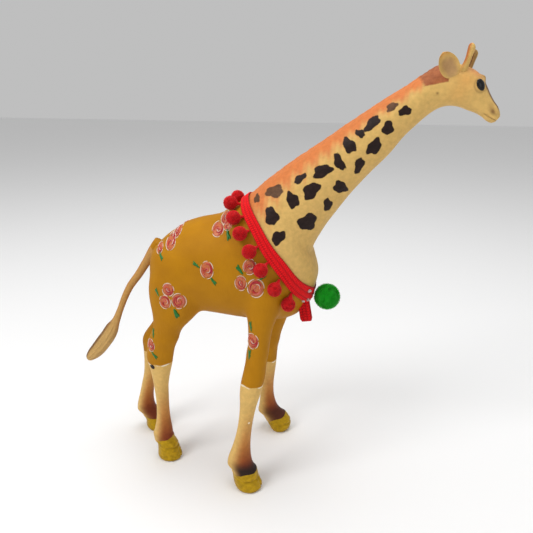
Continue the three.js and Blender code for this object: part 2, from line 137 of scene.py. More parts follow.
# Level stations down each leg: z, rear x, front x, middle y, half width. The
# first few belong to the shoulder or thigh, inside the trunk.
LEGS = {
    "leg_front_right": np.array([
        (152, 32, 52, -17, 7), (142, 28, 56, -18.5, 9.4), (130, 29, 52.4, -21, 9.6), (121, 30.4, 49.4, -23, 9),
        (113, 31, 47.2, -24, 8.2), (106, 31, 46.3, -24.6, 7.6), (99, 30.5, 45.2, -25.8, 7.2),
        (91, 29.7, 44, -27, 6.9), (84, 28.4, 43.1, -28.2, 7), (77, 27.1, 42, -29.4, 6.8),
        (70, 26.7, 40.5, -30.6, 6.3), (62, 27, 38.2, -31.9, 5.6), (52, 26.4, 36.2, -33.2, 5),
        (42, 24.9, 35, -34.4, 4.9), (33, 22.6, 34.6, -35.2, 5.1), (26, 20.3, 35, -35.7, 5.7),
        (20.5, 18.8, 36, -36, 6.5), (17, 20, 37.6, -36, 7), (14, 21.8, 39.2, -36, 7.6),
        (8, 22.7, 40.8, -36, 8.3), (3, 23.6, 42.6, -36, 8.8), (1, 24.8, 42.2, -36, 8.5),
        (0, 26, 40.6, -36, 7.7)], dtype=float),
    "leg_front_left": np.array([
        (152, 33, 52, 17, 7), (142, 29, 57, 18.5, 9.4), (130, 30, 55, 21, 9.6), (121, 32, 53, 23, 9),
        (113, 33.4, 52, 24, 8.2), (106, 33.6, 49.9, 24.6, 7.6), (99, 31.8, 47, 25.8, 7.2),
        (91, 29.9, 44.2, 27, 6.9), (84, 28.4, 42.2, 28.2, 7), (77, 27.4, 40.9, 29.4, 6.8),
        (70, 27, 40.1, 30.6, 6.3), (62, 27.2, 39.3, 31.9, 5.6), (52, 27.4, 38, 33.2, 5),
        (42, 26.6, 36.8, 34.4, 4.9), (33, 26, 36.6, 35.2, 5.1), (26, 25.6, 37.6, 35.7, 5.7),
        (20, 24.8, 39.6, 36, 6.5), (16, 24.4, 43.2, 36, 7), (13, 26.6, 47.4, 36, 7.6),
        (9, 30, 50.2, 36, 8.3), (4.5, 32.6, 50.6, 36, 8.8), (1.5, 34.2, 49.4, 36, 8.5),
        (0, 35.8, 47.4, 36, 7.7)], dtype=float),
    "leg_hind_right": np.array([
        (154, -34, -8, -13, 8), (142, -39.4, -2, -14.6, 11.6), (129, -40, -1, -16, 11.6),
        (119, -38, -5.4, -17.2, 10.6), (112, -37.4, -11.8, -17.6, 9.6), (106, -38.4, -17.2, -17.6, 8.8),
        (99, -41, -20, -17.6, 8.3), (92, -43, -23.2, -17.4, 7.6), (85, -43.8, -24.9, -17.2, 7),
        (78, -43, -26.3, -17, 6.4), (70, -41.8, -28.4, -16.8, 5.6), (61, -40.8, -30.1, -16.6, 5),
        (50, -40, -30.6, -16.5, 4.6), (40, -40, -30.7, -16.5, 4.6), (32, -40.7, -30.3, -16.5, 4.9),
        (25, -42.2, -29.4, -16.5, 5.5), (19.5, -43.4, -29, -16.5, 6.2), (16, -43.2, -28, -16.5, 6.7),
        (12.5, -41, -25.8, -16.5, 7.1), (7.5, -40.6, -24.4, -16.5, 7.6), (3, -41.2, -23.2, -16.5, 7.9),
        (1, -40.4, -23.2, -16.5, 7.6), (0, -39.2, -24.6, -16.5, 6.9)], dtype=float),
    "leg_hind_left": np.array([
        (154, -34, -8, 13, 8), (142, -39.4, -2, 14.6, 11.6), (129, -40.6, -2, 16, 11.6),
        (119, -41.4, -8, 17.2, 10.6), (112, -42.6, -16, 17.6, 9.6), (106, -45.2, -24.5, 17.6, 8.8),
        (99, -50, -28.6, 17.6, 8.3), (92, -55, -34.5, 17.4, 7.6), (85, -59.6, -40, 17.2, 7),
        (78, -62.6, -44.4, 17, 6.4), (70, -62.6, -48.2, 16.8, 5.6), (61, -62.6, -51.2, 16.6, 5),
        (50, -63.6, -53.6, 16.4, 4.6), (41, -65.8, -55.8, 16.3, 4.6), (33, -67.8, -57.2, 16.3, 4.9),
        (26, -69.8, -57.6, 16.3, 5.5), (20, -71.2, -56.8, 16.3, 6.2), (16.5, -70.6, -54.6, 16.3, 6.7),
        (13, -67, -51.2, 16.3, 7.1), (8, -64.4, -48.2, 16.3, 7.6), (3.5, -64.6, -46.8, 16.3, 7.9),
        (1, -63.6, -46.8, 16.3, 7.6), (0, -62.2, -48.2, 16.3, 6.9)], dtype=float),
}
# Where each leg's ochre stops, and the top of its gold hoof with its slope from rear to front.
OCHRE_EDGE = {"leg_front_right": 78, "leg_front_left": 64, "leg_hind_right": 80, "leg_hind_left": 70}
HOOF_TOP = {"leg_front_right": (14.0, 0.12), "leg_front_left": (11.2, 0.28),
            "leg_hind_right": (17.0, 0.27), "leg_hind_left": (12.0, 0.0)}
FETLOCK_SOOT = {"leg_front_right": 0.97, "leg_front_left": 0.7, "leg_hind_right": 0.15, "leg_hind_left": 0.35}
# Marks as x, z, radius in the part's own frame: a dark spot half under the ochre of the
# right hock, and a chip in the tint of the right front shin.
HOCK_SPOT = (-73.6, 78.0, 2.2)
SHIN_CHIP = (-0.8, 52.0, 0.9)
KNEE_HEIGHT, HOCK_HEIGHT = 83, 82
FILLET_ROUNDS = 130
# Broad low swellings of shoulder, flank and thigh: x, z, spread, height; a hollow is below 0.
MUSCLES = ((40, 140, 9, 0.9), (-20, 140, 11, 1.0), (30, 158, 8, 0.6), (6, 120, 14, -0.8),
           (-30, 158, 7, 0.5), (-6, 150, 9, -0.5), (52, 128, 6, 0.6))


def smoothstep(low, high, value):
    """0 below low, 1 above high, 3t^2 - 2t^3 between; low may be the larger."""
    t = np.clip((value - low) / (high - low), 0.0, 1.0)
    return t * t * (3.0 - 2.0 * t)


def spline(stations, count):
    """Catmull-Rom curve through the stations, sampled at `count` even parameters."""
    last = len(stations) - 1
    along = np.linspace(0.0, last, count)
    start = np.minimum(along.astype(int), last - 1)
    t = (along - start)[:, None]
    a, b, c, d = (stations[np.clip(start + k, 0, last)] for k in (-1, 0, 1, 2))
    cubic = (3 * b - a - 3 * c + d) * t ** 3
    return 0.5 * (2 * b + (c - a) * t + (2 * a - 5 * b + 4 * c - d) * t ** 2 + cubic)


def body_rings(stations, angles):
    """Ovals across the body between its top and bottom outlines: angle 0 is the top point,
    a half turn the bottom one, and y = -sin(angle) * half width."""
    top_x, top_z, bottom_x, bottom_z, half = (stations[:, k, None] for k in range(5))
    up = np.cos(angles)[None, :] / 2
    x = (top_x + bottom_x) / 2 + up * (top_x - bottom_x) + AHEAD
    z = (top_z + bottom_z) / 2 + up * (top_z - bottom_z)
    y = -np.sin(angles)[None, :] * half
    return np.stack([x, y, z], axis=2)


def level_rings(stations, angles):
    """Level ovals down a leg: x = middle + reach * cos(angle), y = middle + half width * sin(angle)."""
    z, rear, front, middle, half = (stations[:, k, None] for k in range(5))
    x = (rear + front) / 2 + (front - rear) / 2 * np.cos(angles)[None, :] + AHEAD
    y = middle + half * np.sin(angles)[None, :]
    return np.stack([x, y, z + 0 * x], axis=2)


def tube(grid):
    """Vertices and quads of a grid whose rows are closed rings, with a fan on each end ring, facing out."""
    rows, sides = grid.shape[:2]
    ends = np.stack([grid[0].mean(axis=0), grid[-1].mean(axis=0)])
    verts = np.concatenate([grid.reshape(-1, 3), ends])
    r, k = np.meshgrid(np.arange(rows - 1), np.arange(sides), indexing="ij")
    n = (k + 1) % sides
    quads = np.stack([r * sides + k, r * sides + n, (r + 1) * sides + n, (r + 1) * sides + k], axis=2)
    quads = quads.reshape(-1, 4)
    k = np.arange(sides)
    n = (k + 1) % sides
    first, base = rows * sides, (rows - 1) * sides
    fans = np.concatenate([
        np.stack([n, k, np.full(sides, first)], axis=1),
        np.stack([base + k, base + n, np.full(sides, first + 1)], axis=1)])
    a, b, c, d = (verts[quads[:, j]] for j in range(4))
    turning = np.einsum("ij,ij->i", a, np.cross(b, c)).sum() + np.einsum("ij,ij->i", a, np.cross(c, d)).sum()
    if turning < 0:
        quads, fans = quads[:, ::-1], fans[:, ::-1]
    return verts, quads.tolist() + fans.tolist()


def piece(name, verts, faces, material=None):
    """A mesh object from millimetre vertices; the object itself stays at the origin."""
    mesh = bpy.data.meshes.new(name)
    mesh.from_pydata((np.asarray(verts) * MM).tolist(), [], faces)
    mesh.update()
    mesh.shade_smooth()
    obj = bpy.data.objects.new(name, mesh)
    scene.collection.objects.link(obj)
    if material:
        mesh.materials.append(material)
    return obj


def together(parts):
    """Several vertex and face lists as one."""
    verts, faces, count = [], [], 0
    for part_verts, part_faces in parts:
        verts.append(part_verts)
        faces += [[i + count for i in face] for face in part_faces]
        count += len(part_verts)
    return np.concatenate(verts), faces


def voxel_skin(parts, voxel):
    """The outer skin of overlapping closed shapes, as millimetre vertices and quads."""
    rough = piece("rough", *together(parts))
    remesh = rough.modifiers.new("remesh", "REMESH")
    remesh.mode = "VOXEL"
    remesh.voxel_size = voxel * MM
    fine = rough.evaluated_get(bpy.context.evaluated_depsgraph_get()).to_mesh()
    verts = np.empty(len(fine.vertices) * 3)
    fine.vertices.foreach_get("co", verts)
    corners = np.empty(len(fine.loops), dtype=int)
    fine.loops.foreach_get("vertex_index", corners)
    faces = corners.reshape(-1, 4)
    bpy.data.objects.remove(rough)
    return verts.reshape(-1, 3) / MM, faces


def relax(verts, faces, share, rounds):
    """Each vertex moves by `share` of the way to the mean of its neighbours, `rounds` times."""
    a, b = faces.ravel(), np.roll(faces, -1, axis=1).ravel()
    degree = np.bincount(a, minlength=len(verts)) + np.bincount(b, minlength=len(verts))
    for _ in range(rounds):
        mean = np.stack([np.bincount(a, verts[b, k], len(verts)) + np.bincount(b, verts[a, k], len(verts))
                         for k in range(3)], axis=1) / degree[:, None]
        verts = verts + share[:, None] * (mean - verts)
    return verts


def vertex_normals(verts, faces):
    """Area-weighted normals of a quad mesh."""
    across = np.cross(verts[faces[:, 2]] - verts[faces[:, 0]], verts[faces[:, 3]] - verts[faces[:, 1]])
    total = np.stack([np.bincount(faces.ravel(), np.repeat(across[:, k], 4), len(verts))
                      for k in range(3)], axis=1)
    return total / np.maximum(np.linalg.norm(total, axis=1, keepdims=True), 1e-9)


def attribute(mesh, name, values):
    """A float or colour value for each vertex, for the paint to read."""
    if values.ndim == 1:
        mesh.attributes.new(name, "FLOAT", "POINT").data.foreach_set("value", values.astype(np.float32))
    else:
        rgba = np.concatenate([values, np.ones((len(values), 1))], axis=1).astype(np.float32)
        mesh.attributes.new(name, "FLOAT_COLOR", "POINT").data.foreach_set("color", rgba.ravel())


TURN = np.linspace(0.0, 2 * math.pi, 96, endpoint=False)
shapes = [tube(body_rings(spline(TRUNK, 90), TURN))]
shapes += [tube(level_rings(spline(stations, 160), TURN[::2])) for stations in LEGS.values()]
skin, quads = voxel_skin(shapes, BODY_VOXEL)
skin = relax(skin, quads, np.full(len(skin), 0.5), 3)
fillet = 0.5 * smoothstep(98, 108, skin[:, 2]) * smoothstep(166, 150, skin[:, 2])
skin = relax(skin, quads, fillet, FILLET_ROUNDS)

CREAM = np.array([0.66, 0.42, 0.13])
SHIN = np.array([0.42, 0.125, 0.02])
RED_BROWN = np.array([0.21, 0.038, 0.010])
SOOT = np.array([0.018, 0.011, 0.009])


def mix(a, b, share):
    """Colour a at 0, colour b at 1."""
    return a + (b - a) * share[:, None]


# Which leg each vertex belongs to, its place from rear (-1) to front (1), and the leg's own middle line.
normals = vertex_normals(skin, quads)
leg_of = np.where(skin[:, 0] - AHEAD > 0, 0, 2) + (skin[:, 1] > 0)
ochre = np.full(len(skin), 5.0)
gold = np.zeros(len(skin))
primer = np.zeros(len(skin))
leg_spots = np.zeros(len(skin))
colour = np.tile(CREAM, (len(skin), 1))
push = np.zeros(len(skin))
for number, (leg, stations) in enumerate(LEGS.items()):
    low = stations[::-1]
    mine = (leg_of == number) & (skin[:, 2] < LEG_JOIN + 20)
    x, y, z = skin[mine].T
    rear = np.interp(z, low[:, 0], low[:, 1]) + AHEAD
    front = np.interp(z, low[:, 0], low[:, 2]) + AHEAD
    middle = np.interp(z, low[:, 0], low[:, 3])
    fore = (2 * x - rear - front) / (front - rear)
    round_leg = np.arctan2(y - middle, (x - (rear + front) / 2))
    wave = 0.4 * np.sin(2 * round_leg + number) + 0.25 * np.sin(5 * round_leg + 2 * number)
    ochre[mine] = np.maximum(z - (OCHRE_EDGE[leg] + wave) + 1, 0)
    patchy = 0.9 * np.sin(3 * round_leg + 2 + number) + 0.5 * np.sin(7 * round_leg)
    primer[mine] = np.maximum(1.5 + 0.4 * patchy - np.abs(z - (OCHRE_EDGE[leg] + wave) + 0.3), 0)
    top, slope = HOOF_TOP[leg]
    hoof_edge = top + slope * (x - (rear + front) / 2) + 0.35 * np.sin(4 * round_leg + number)
    gold[mine] = np.maximum(hoof_edge - z + 1, 0)
    orange = smoothstep(68, 30, z) * smoothstep(-0.8, 0.5, fore)
    deep = smoothstep(40, 18, z) * smoothstep(-0.7, 0.6, fore)
    black = smoothstep(25, 16.5, z) * smoothstep(-0.9, 0.1, fore) * FETLOCK_SOOT[leg]
    tint = mix(mix(np.tile(CREAM, (len(x), 1)), SHIN, 0.85 * orange), RED_BROWN, deep)
    colour[mine] = mix(tint, SOOT, black)
    # Each hoof has a cleft in front, a step near two thirds of its height and a soft ridge at
    # its top. Above it are two dewclaws behind, and a knee in front or a hock behind.
    cleft = np.exp(-((y - middle) / 0.8) ** 2) * smoothstep(0.15, 0.7, fore) * smoothstep(9.5, 7.0, z)
    step = np.exp(-((z - top * 0.62) / 0.7) ** 2) * smoothstep(-0.3, 0.4, fore)
    ridge = np.exp(-((z - hoof_edge) / 1.2) ** 2)
    facets = 0.16 * np.sin(3.1 * round_leg + z * 0.9) * np.sin(1.3 * z + 2 * round_leg) * (z < top + 1)
    dewclaw = np.exp(-((z - top - 4) / 2.2) ** 2 - ((np.abs(y - middle) - 3) / 1.8) ** 2)
    dewclaw = dewclaw * smoothstep(0.0, -0.7, fore)
    bend_height, bend_side = (KNEE_HEIGHT, fore) if number < 2 else (HOCK_HEIGHT, -fore)
    knee = np.exp(-((z - bend_height) / 5) ** 2) * smoothstep(0.2, 0.9, bend_side)
    push[mine] = -1.9 * cleft - 0.9 * step + 0.35 * ridge + facets + 0.7 * dewclaw + 0.5 * knee
outer_right = skin[:, 1] < -16
for target, (sx, sz, radius) in ((leg_spots, HOCK_SPOT), (primer, SHIN_CHIP)):
    near = np.maximum(1 + radius - np.hypot(skin[:, 0] - sx, skin[:, 2] - sz), 0) * outer_right
    target[:] = np.maximum(target, near)
for mx, mz, spread, height in MUSCLES:
    near = np.exp(-((skin[:, 0] - AHEAD - mx) ** 2 + (skin[:, 2] - mz) ** 2) / spread ** 2)
    push += height * near * np.abs(normals[:, 1]) * (skin[:, 2] > LEG_JOIN - 6)
skin = skin + normals * push[:, None]
skin[:, 2] = np.maximum(skin[:, 2], 0.0)


def node(tree, kind, **settings):
    """A shader node with its named inputs set."""
    made = tree.nodes.new(kind)
    for key, value in settings.items():
        if key in made.inputs:
            made.inputs[key].default_value = value
        else:
            setattr(made, key, value)
    return made


VINYL_ROUGHNESS, OCHRE_ROUGHNESS, GOLD_ROUGHNESS = 0.5, 0.62, 0.36
GOLD_METAL = 0.4


def painted_vinyl(name, fur_scale, fur_height, fur_turn=(0.0, 0.0, 0.0)):
    """Moulded vinyl with airbrushed tints. Hard-edged paints come on top in this order: brown
    crest, dark spots, pale spots, primer, ochre, gold. Each paint's attribute is 1 at its
    edge, rises by about 1 per millimetre inside it and is 0 where there is none."""
    material, tree, shader = new_material(name)
    shader.inputs["Specular IOR Level"].default_value = 0.15
    place = node(tree, "ShaderNodeTexCoord")
    grain = node(tree, "ShaderNodeTexNoise", Scale=420.0, Detail=3.0)
    tree.links.new(place.outputs["Object"], grain.inputs["Vector"])
    broad = node(tree, "ShaderNodeTexNoise", Scale=70.0, Detail=4.0)
    tree.links.new(place.outputs["Object"], broad.inputs["Vector"])
    edge = node(tree, "ShaderNodeTexNoise", Scale=900.0, Detail=4.0)
    tree.links.new(place.outputs["Object"], edge.inputs["Vector"])

    tint = node(tree, "ShaderNodeAttribute", attribute_name="tint")
    mottle = node(tree, "ShaderNodeMapRange",
                  **{"From Min": 0.3, "From Max": 0.7, "To Min": 0.90, "To Max": 1.07})
    tree.links.new(grain.outputs["Fac"], mottle.inputs["Value"])
    base = node(tree, "ShaderNodeVectorMath", operation="MULTIPLY")
    tree.links.new(tint.outputs["Color"], base.inputs[0])
    tree.links.new(mottle.outputs["Result"], base.inputs[1])
    current = base.outputs["Vector"]

    def coat(attribute_name, colour_low, colour_high, start, soft, ragged, texture, below):
        """One hand-painted colour over what is below, with a slightly ragged edge."""
        where = node(tree, "ShaderNodeAttribute", attribute_name=attribute_name)
        wobble = node(tree, "ShaderNodeMath", operation="MULTIPLY_ADD")
        wobble.inputs[1].default_value = ragged
        tree.links.new(edge.outputs["Fac"], wobble.inputs[0])
        tree.links.new(where.outputs["Fac"], wobble.inputs[2])
        inside = node(tree, "ShaderNodeMapRange", **{"From Min": 1 + start + ragged / 2,
                                                      "From Max": 1 + start + ragged / 2 + soft})
        tree.links.new(wobble.outputs[0], inside.inputs["Value"])
        shade = node(tree, "ShaderNodeMix", data_type="RGBA")
        shade.inputs[6].default_value = (*colour_low, 1)
        shade.inputs[7].default_value = (*colour_high, 1)
        tree.links.new(texture.outputs["Fac"], shade.inputs[0])
        over = node(tree, "ShaderNodeMix", data_type="RGBA")
        tree.links.new(inside.outputs["Result"], over.inputs[0])
        tree.links.new(below, over.inputs[6])
        tree.links.new(shade.outputs[2], over.inputs[7])
        return over.outputs[2], inside.outputs["Result"]

    # Each paint's attribute, its darker and lighter colour, how far inside its edge it starts,
    # how soft and how ragged that edge is, and the pattern that mixes its colours.
    coats = (
        ("crest", (0.17, 0.04, 0.015), (0.50, 0.17, 0.06), 0.1, 0.7, 0.6, grain),
        ("spots", (0.004, 0.002, 0.002), (0.034, 0.016, 0.013), 0.05, 0.35, 0.7, grain),
        ("pale_spots", (0.05, 0.022, 0.012), (0.16, 0.075, 0.035), 0.05, 0.4, 0.8, grain),
        ("primer", (0.74, 0.62, 0.42), (0.85, 0.76, 0.58), 0.1, 0.3, 0.5, broad),
        ("ochre", (0.34, 0.135, 0.001), (0.49, 0.215, 0.001), 0.1, 0.25, 0.7, broad),
        ("gold", (0.22, 0.13, 0.006), (0.66, 0.40, 0.012), 0.1, 0.25, 0.7, grain))
    covered = {}
    for paint_coat in coats:
        current, covered[paint_coat[0]] = coat(*paint_coat, current)
    tree.links.new(current, shader.inputs["Base Color"])

    metal = node(tree, "ShaderNodeMath", operation="MULTIPLY")
    metal.inputs[1].default_value = GOLD_METAL
    tree.links.new(covered["gold"], metal.inputs[0])
    tree.links.new(metal.outputs[0], shader.inputs["Metallic"])
    matt = node(tree, "ShaderNodeMix", data_type="FLOAT")
    matt.inputs[2].default_value = VINYL_ROUGHNESS
    matt.inputs[3].default_value = OCHRE_ROUGHNESS
    tree.links.new(covered["ochre"], matt.inputs[0])
    shine = node(tree, "ShaderNodeMix", data_type="FLOAT")
    shine.inputs[3].default_value = GOLD_ROUGHNESS
    tree.links.new(covered["gold"], shine.inputs[0])
    tree.links.new(matt.outputs[0], shine.inputs[2])
    tree.links.new(shine.outputs[0], shader.inputs["Roughness"])

    fur_place = node(tree, "ShaderNodeMapping")
    fur_place.inputs["Rotation"].default_value = fur_turn
    fur_place.inputs["Scale"].default_value = fur_scale
    tree.links.new(place.outputs["Object"], fur_place.inputs["Vector"])
    fur = node(tree, "ShaderNodeTexNoise", Scale=1.0, Detail=2.5, Roughness=0.6)
    tree.links.new(fur_place.outputs["Vector"], fur.inputs["Vector"])
    brush = node(tree, "ShaderNodeMath", operation="MULTIPLY_ADD")
    brush.inputs[1].default_value = 0.35
    tree.links.new(broad.outputs["Fac"], brush.inputs[0])
    tree.links.new(fur.outputs["Fac"], brush.inputs[2])
    bump = node(tree, "ShaderNodeBump", Strength=0.55, Distance=fur_height * MM)
    tree.links.new(brush.outputs[0], bump.inputs["Height"])
    tree.links.new(bump.outputs["Normal"], shader.inputs["Normal"])
    return material


body_vinyl = painted_vinyl("body_vinyl", (900.0, 900.0, 320.0), 0.35)


def capped_part(name, keep):
    """The quads in `keep` as a piece of its own, its cut rims closed by flat faces with sharp edges."""
    used = np.unique(quads[keep])
    index = np.full(len(skin), -1)
    index[used] = np.arange(len(used))
    obj = piece(name, skin[used], index[quads[keep]].tolist(), body_vinyl)
    for key, values in (("tint", colour), ("ochre", ochre), ("gold", gold), ("primer", primer),
                        ("spots", leg_spots)):
        attribute(obj.data, key, values[used])
    shell = bmesh.new()
    shell.from_mesh(obj.data)
    rims = [e for e in shell.edges if e.is_boundary]
    for e in rims:
        e.smooth = False
    made = bmesh.ops.holes_fill(shell, edges=rims, sides=0)
    for face in made["faces"]:
        face.smooth = False
    shell.to_mesh(obj.data)
    shell.free()
    return obj


height = skin[quads, 2].mean(axis=1)
above = height > LEG_JOIN
rim = np.intersect1d(np.unique(quads[above]), np.unique(quads[~above]))
skin[rim, 2] = LEG_JOIN
trunk = capped_part("trunk_shell", above)
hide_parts("trunk")
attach(trunk, "figure")
for number, leg in enumerate(LEGS):
    mine = ~above & ((leg_of[quads] == number).mean(axis=1) > 0.5)
    moulding = capped_part(leg + "_moulding", mine)
    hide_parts(leg)
    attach(moulding, "figure")


# ---------------------------------------------------------------------------
# Neck and head: one hollow vinyl moulding. Fine fur is moulded into it; the
# mane is airbrushed orange and the spots are masked and sprayed nearly black.
# ---------------------------------------------------------------------------
NECK = np.array([
    (26, 196.8, 69.4, 133.2, 24.3), (30.5, 200.6, 73, 148, 23.6), (34.5, 204, 70.8, 158.5, 22),
    (40, 208.8, 69.3, 166, 20), (50.8, 217.2, 76, 179.5, 17.8), (61, 224.6, 83, 190, 16.2),
    (72.9, 232.7, 92, 202.5, 14.8), (85, 241.4, 102.5, 215, 13.3), (98, 250.4, 113, 226.4, 12),
    (110, 258.6, 121, 237, 10.8), (121, 265.4, 127.5, 243.8, 9.9), (129.5, 271.5, 131.5, 247.7, 9.5),
    (137, 276.4, 135.5, 251, 9.6), (145, 277.6, 139.5, 253.4, 9.9), (152, 276, 143.5, 254.6, 10.2),
    (157.3, 273.6, 148, 254.6, 10.3), (161.2, 270, 151.5, 253.8, 9.9), (163.8, 265.7, 155, 252.5, 8.6),
    (166, 261.6, 158.7, 251.3, 7.4), (168.4, 257.8, 162.3, 249.5, 6.7), (170.6, 255, 165.3, 247.2, 6.6),
    (172, 252.2, 168, 246, 6.1), (172.5, 249.8, 170.3, 246.6, 4.6)], dtype=float)
HEAD_TURN = math.radians(10)
POLL = 142.0
# Spots on the right side: x and z in the part's own frame, length, width, tilt in degrees.
# The pale ones lie near the mane. The left side has the same, moved ahead and up.
SPOTS = [
    (85.3, 252.1, 8, 5.6, 15), (67.4, 244.9, 12.4, 5.8, 47), (76.5, 242.7, 8.6, 6.8, 80),
    (61, 239.3, 6.8, 4.6, -20), (55.2, 232.5, 10.4, 7.2, -50), (69.4, 232, 11.2, 7.6, 55),
    (49.9, 222.9, 12, 5.8, -60), (61.4, 221, 11, 5.6, 75), (40.3, 217.3, 13, 7.6, 25),
    (27, 212.5, 9.8, 4.6, 38), (51.1, 207.9, 9.2, 7.8, -40),
    (34.2, 205.7, 12.6, 8.8, 50), (23.1, 199.8, 10.8, 7.8, -60), (43.9, 197, 9.2, 5.4, 90),
    (10.7, 189.8, 11.6, 8.8, -70), (32.3, 186.3, 12.4, 10.4, 45), (15.6, 177.3, 10.4, 7.6, 50),
    (17.6, 163.7, 2.2, 1.6, 0)]
PALE_SPOTS = [(77.9, 254.2, 7.6, 4.8, 35), (11.3, 203.9, 12.8, 7.2, 15), (-0.4, 198.5, 5.6, 4.6, 60)]
LEFT_AHEAD, LEFT_RISE = 4.5, 0.7     # in millimetres, and as a share of that
EYE = (160.9, 6.9, 266.3)


def turned(points):
    """The head turned towards -Y about an upright line through the poll, fading out down the neck."""
    angle = HEAD_TURN * smoothstep(POLL - 14, POLL + 8, points[..., 0] - AHEAD)
    dx, dy = points[..., 0] - AHEAD - POLL, points[..., 1]
    return np.stack([AHEAD + POLL + dx * np.cos(angle) + dy * np.sin(angle),
                     dy * np.cos(angle) - dx * np.sin(angle), points[..., 2]], axis=-1)


def spot_depth(x, z, spots):
    """The paint value of the nearest spot, each an oval with a wavy rim."""
    depth = np.full_like(x, -1.0)
    for sx, sz, length, width, tilt in spots:
        turn = math.radians(tilt)
        u = (x - sx) * math.cos(turn) + (z - sz) * math.sin(turn)
        v = (z - sz) * math.cos(turn) - (x - sx) * math.sin(turn)
        way = np.arctan2(v / width, u / length)
        wavy = 1.0 + 0.12 * np.sin(3 * way + sx) + 0.09 * np.sin(5 * way + sz)
        reach = np.hypot(u / (length / 2), v / (width / 2)) / wavy
        depth = np.maximum(depth, (1.0 - reach) * min(length, width) / 2)
    return np.maximum(depth + 1, 0.0)


ROWS, SIDES = 420, 200
ring_angles = np.linspace(0.0, 2 * math.pi, SIDES, endpoint=False)
neck_line = spline(NECK, ROWS)
neck = body_rings(neck_line, ring_angles)
across = np.roll(neck, -1, axis=1) - np.roll(neck, 1, axis=1)
along = np.gradient(neck, axis=0)
out = np.cross(across, along)
out /= np.maximum(np.linalg.norm(out, axis=2, keepdims=True), 1e-9)
if out[:, 0, 2].mean() < 0:
    out = -out
nx, ny, nz = neck[..., 0] - AHEAD, neck[..., 1], neck[..., 2]
side_on = np.abs(np.sin(ring_angles))[None, :]


def swell(cx, cz, spread_x, spread_z, tilt=0.0):
    """A smooth hump centred on a place of the head's side, the same on both sides."""
    turn = math.radians(tilt)
    u = (nx - cx) * math.cos(turn) + (nz - cz) * math.sin(turn)
    v = (nz - cz) * math.cos(turn) - (nx - cx) * math.sin(turn)
    return np.exp(-(u / spread_x) ** 2 - (v / spread_z) ** 2) * side_on


relief = 1.0 * swell(161.0, 269.0, 3.4, 2.0, -45)          # brow over the eye
relief += -0.5 * swell(EYE[0], EYE[2], 2.6, 2.4)            # eye socket
relief += 0.5 * swell(158.4, 263.2, 4.0, 1.6, -35)          # cheek under the eye
relief += 0.7 * swell(147, 260.5, 5.5, 5.0)                 # jaw muscle
relief += -0.45 * swell(161.5, 257.5, 3.8, 2.0, -40)        # hollow before the cheek
relief += 0.45 * swell(168.6, 252.6, 2.2, 2.0)              # nostril wing
relief += -0.7 * swell(169.3, 252.9, 1.1, 0.6, -50)         # nostril
mouth = np.exp(-((nz - (249.4 - 0.55 * (nx - 167))) / 0.42) ** 2) * smoothstep(162.5, 165, nx)
relief += -0.5 * mouth * side_on
relief += 0.35 * swell(166.5, 248.0, 2.6, 1.3, -35)         # lower lip
relief += 0.6 * swell(128, 262, 5, 6) - 0.5 * swell(60, 200, 20, 3.5, 47)
far_brow = np.exp(-((nx - 161.5) / 2.4) ** 2 - ((nz - 270.0) / 2.0) ** 2) * smoothstep(0.5, 3.0, ny)
relief += 1.5 * far_brow                                    # the far brow, which stands higher
crown = np.exp(-(np.minimum(ring_angles, 2 * math.pi - ring_angles) / 0.13) ** 2)[None, :]
mane_ridge = crown * smoothstep(0, 10, np.arange(ROWS))[:, None] * smoothstep(142, 130, nx)
rng = np.random.default_rng(7)
tufts = rng.normal(0, 1, (ROWS, 1))
tufts = (tufts + np.roll(tufts, 1, 0) + np.roll(tufts, 2, 0)) / 3
relief += mane_ridge * (0.55 + 0.18 * tufts)
neck = turned(neck + out * relief[..., None])
neck_verts, neck_faces = tube(neck)

dorsal = np.minimum(ring_angles, 2 * math.pi - ring_angles)[None, :] + 0 * nx
streak = 0.12 * np.sin(nx * 0.55 + nz * 0.3) + 0.06 * np.sin(nx * 1.9)
mane = smoothstep(1.28, 0.62, dorsal + streak) * smoothstep(140, 128, nx)
collar_warmth = 0.35 * smoothstep(34, 8, nx + 0.2 * (nz - 190))
blush = 0.55 * swell(153.5, 270.5, 6, 4.5, -35) + 0.5 * swell(150, 262, 6, 6) * 0.6
ORANGE = np.array([0.60, 0.165, 0.045])
BLUSH = np.array([0.58, 0.25, 0.06])
UMBER = np.array([0.10, 0.035, 0.015])
FOREHEAD = np.array([0.55, 0.17, 0.07])
# Painted shade: the cream of the neck's underside, made darker.
UNDERSIDE_SHADE_COLOUR = CREAM * np.array([0.92, 0.90, 0.80])


def ring_mix(a, b, share):
    """Colour a at 0, colour b at 1, over a grid."""
    return a + (b - a) * share[..., None]


neck_tint = np.broadcast_to(CREAM, neck.shape).copy()
# Painted shade: the neck's underside is darker towards its lowest line.
underside_shade = smoothstep(2.0, 3.1, dorsal)
neck_tint = ring_mix(neck_tint, UNDERSIDE_SHADE_COLOUR, underside_shade)
neck_tint = ring_mix(neck_tint, ORANGE, 0.92 * mane)
neck_tint = ring_mix(neck_tint, BLUSH, np.clip(collar_warmth + blush, 0, 0.8))
forehead = smoothstep(0.9, 0.3, dorsal) * smoothstep(150, 156, nx) * smoothstep(163, 158, nx)
neck_tint = ring_mix(neck_tint, FOREHEAD, 0.6 * forehead)
nose = smoothstep(0.60, 0.25, dorsal) * smoothstep(161.5, 163.5, nx) * smoothstep(172.3, 170.8, nx)
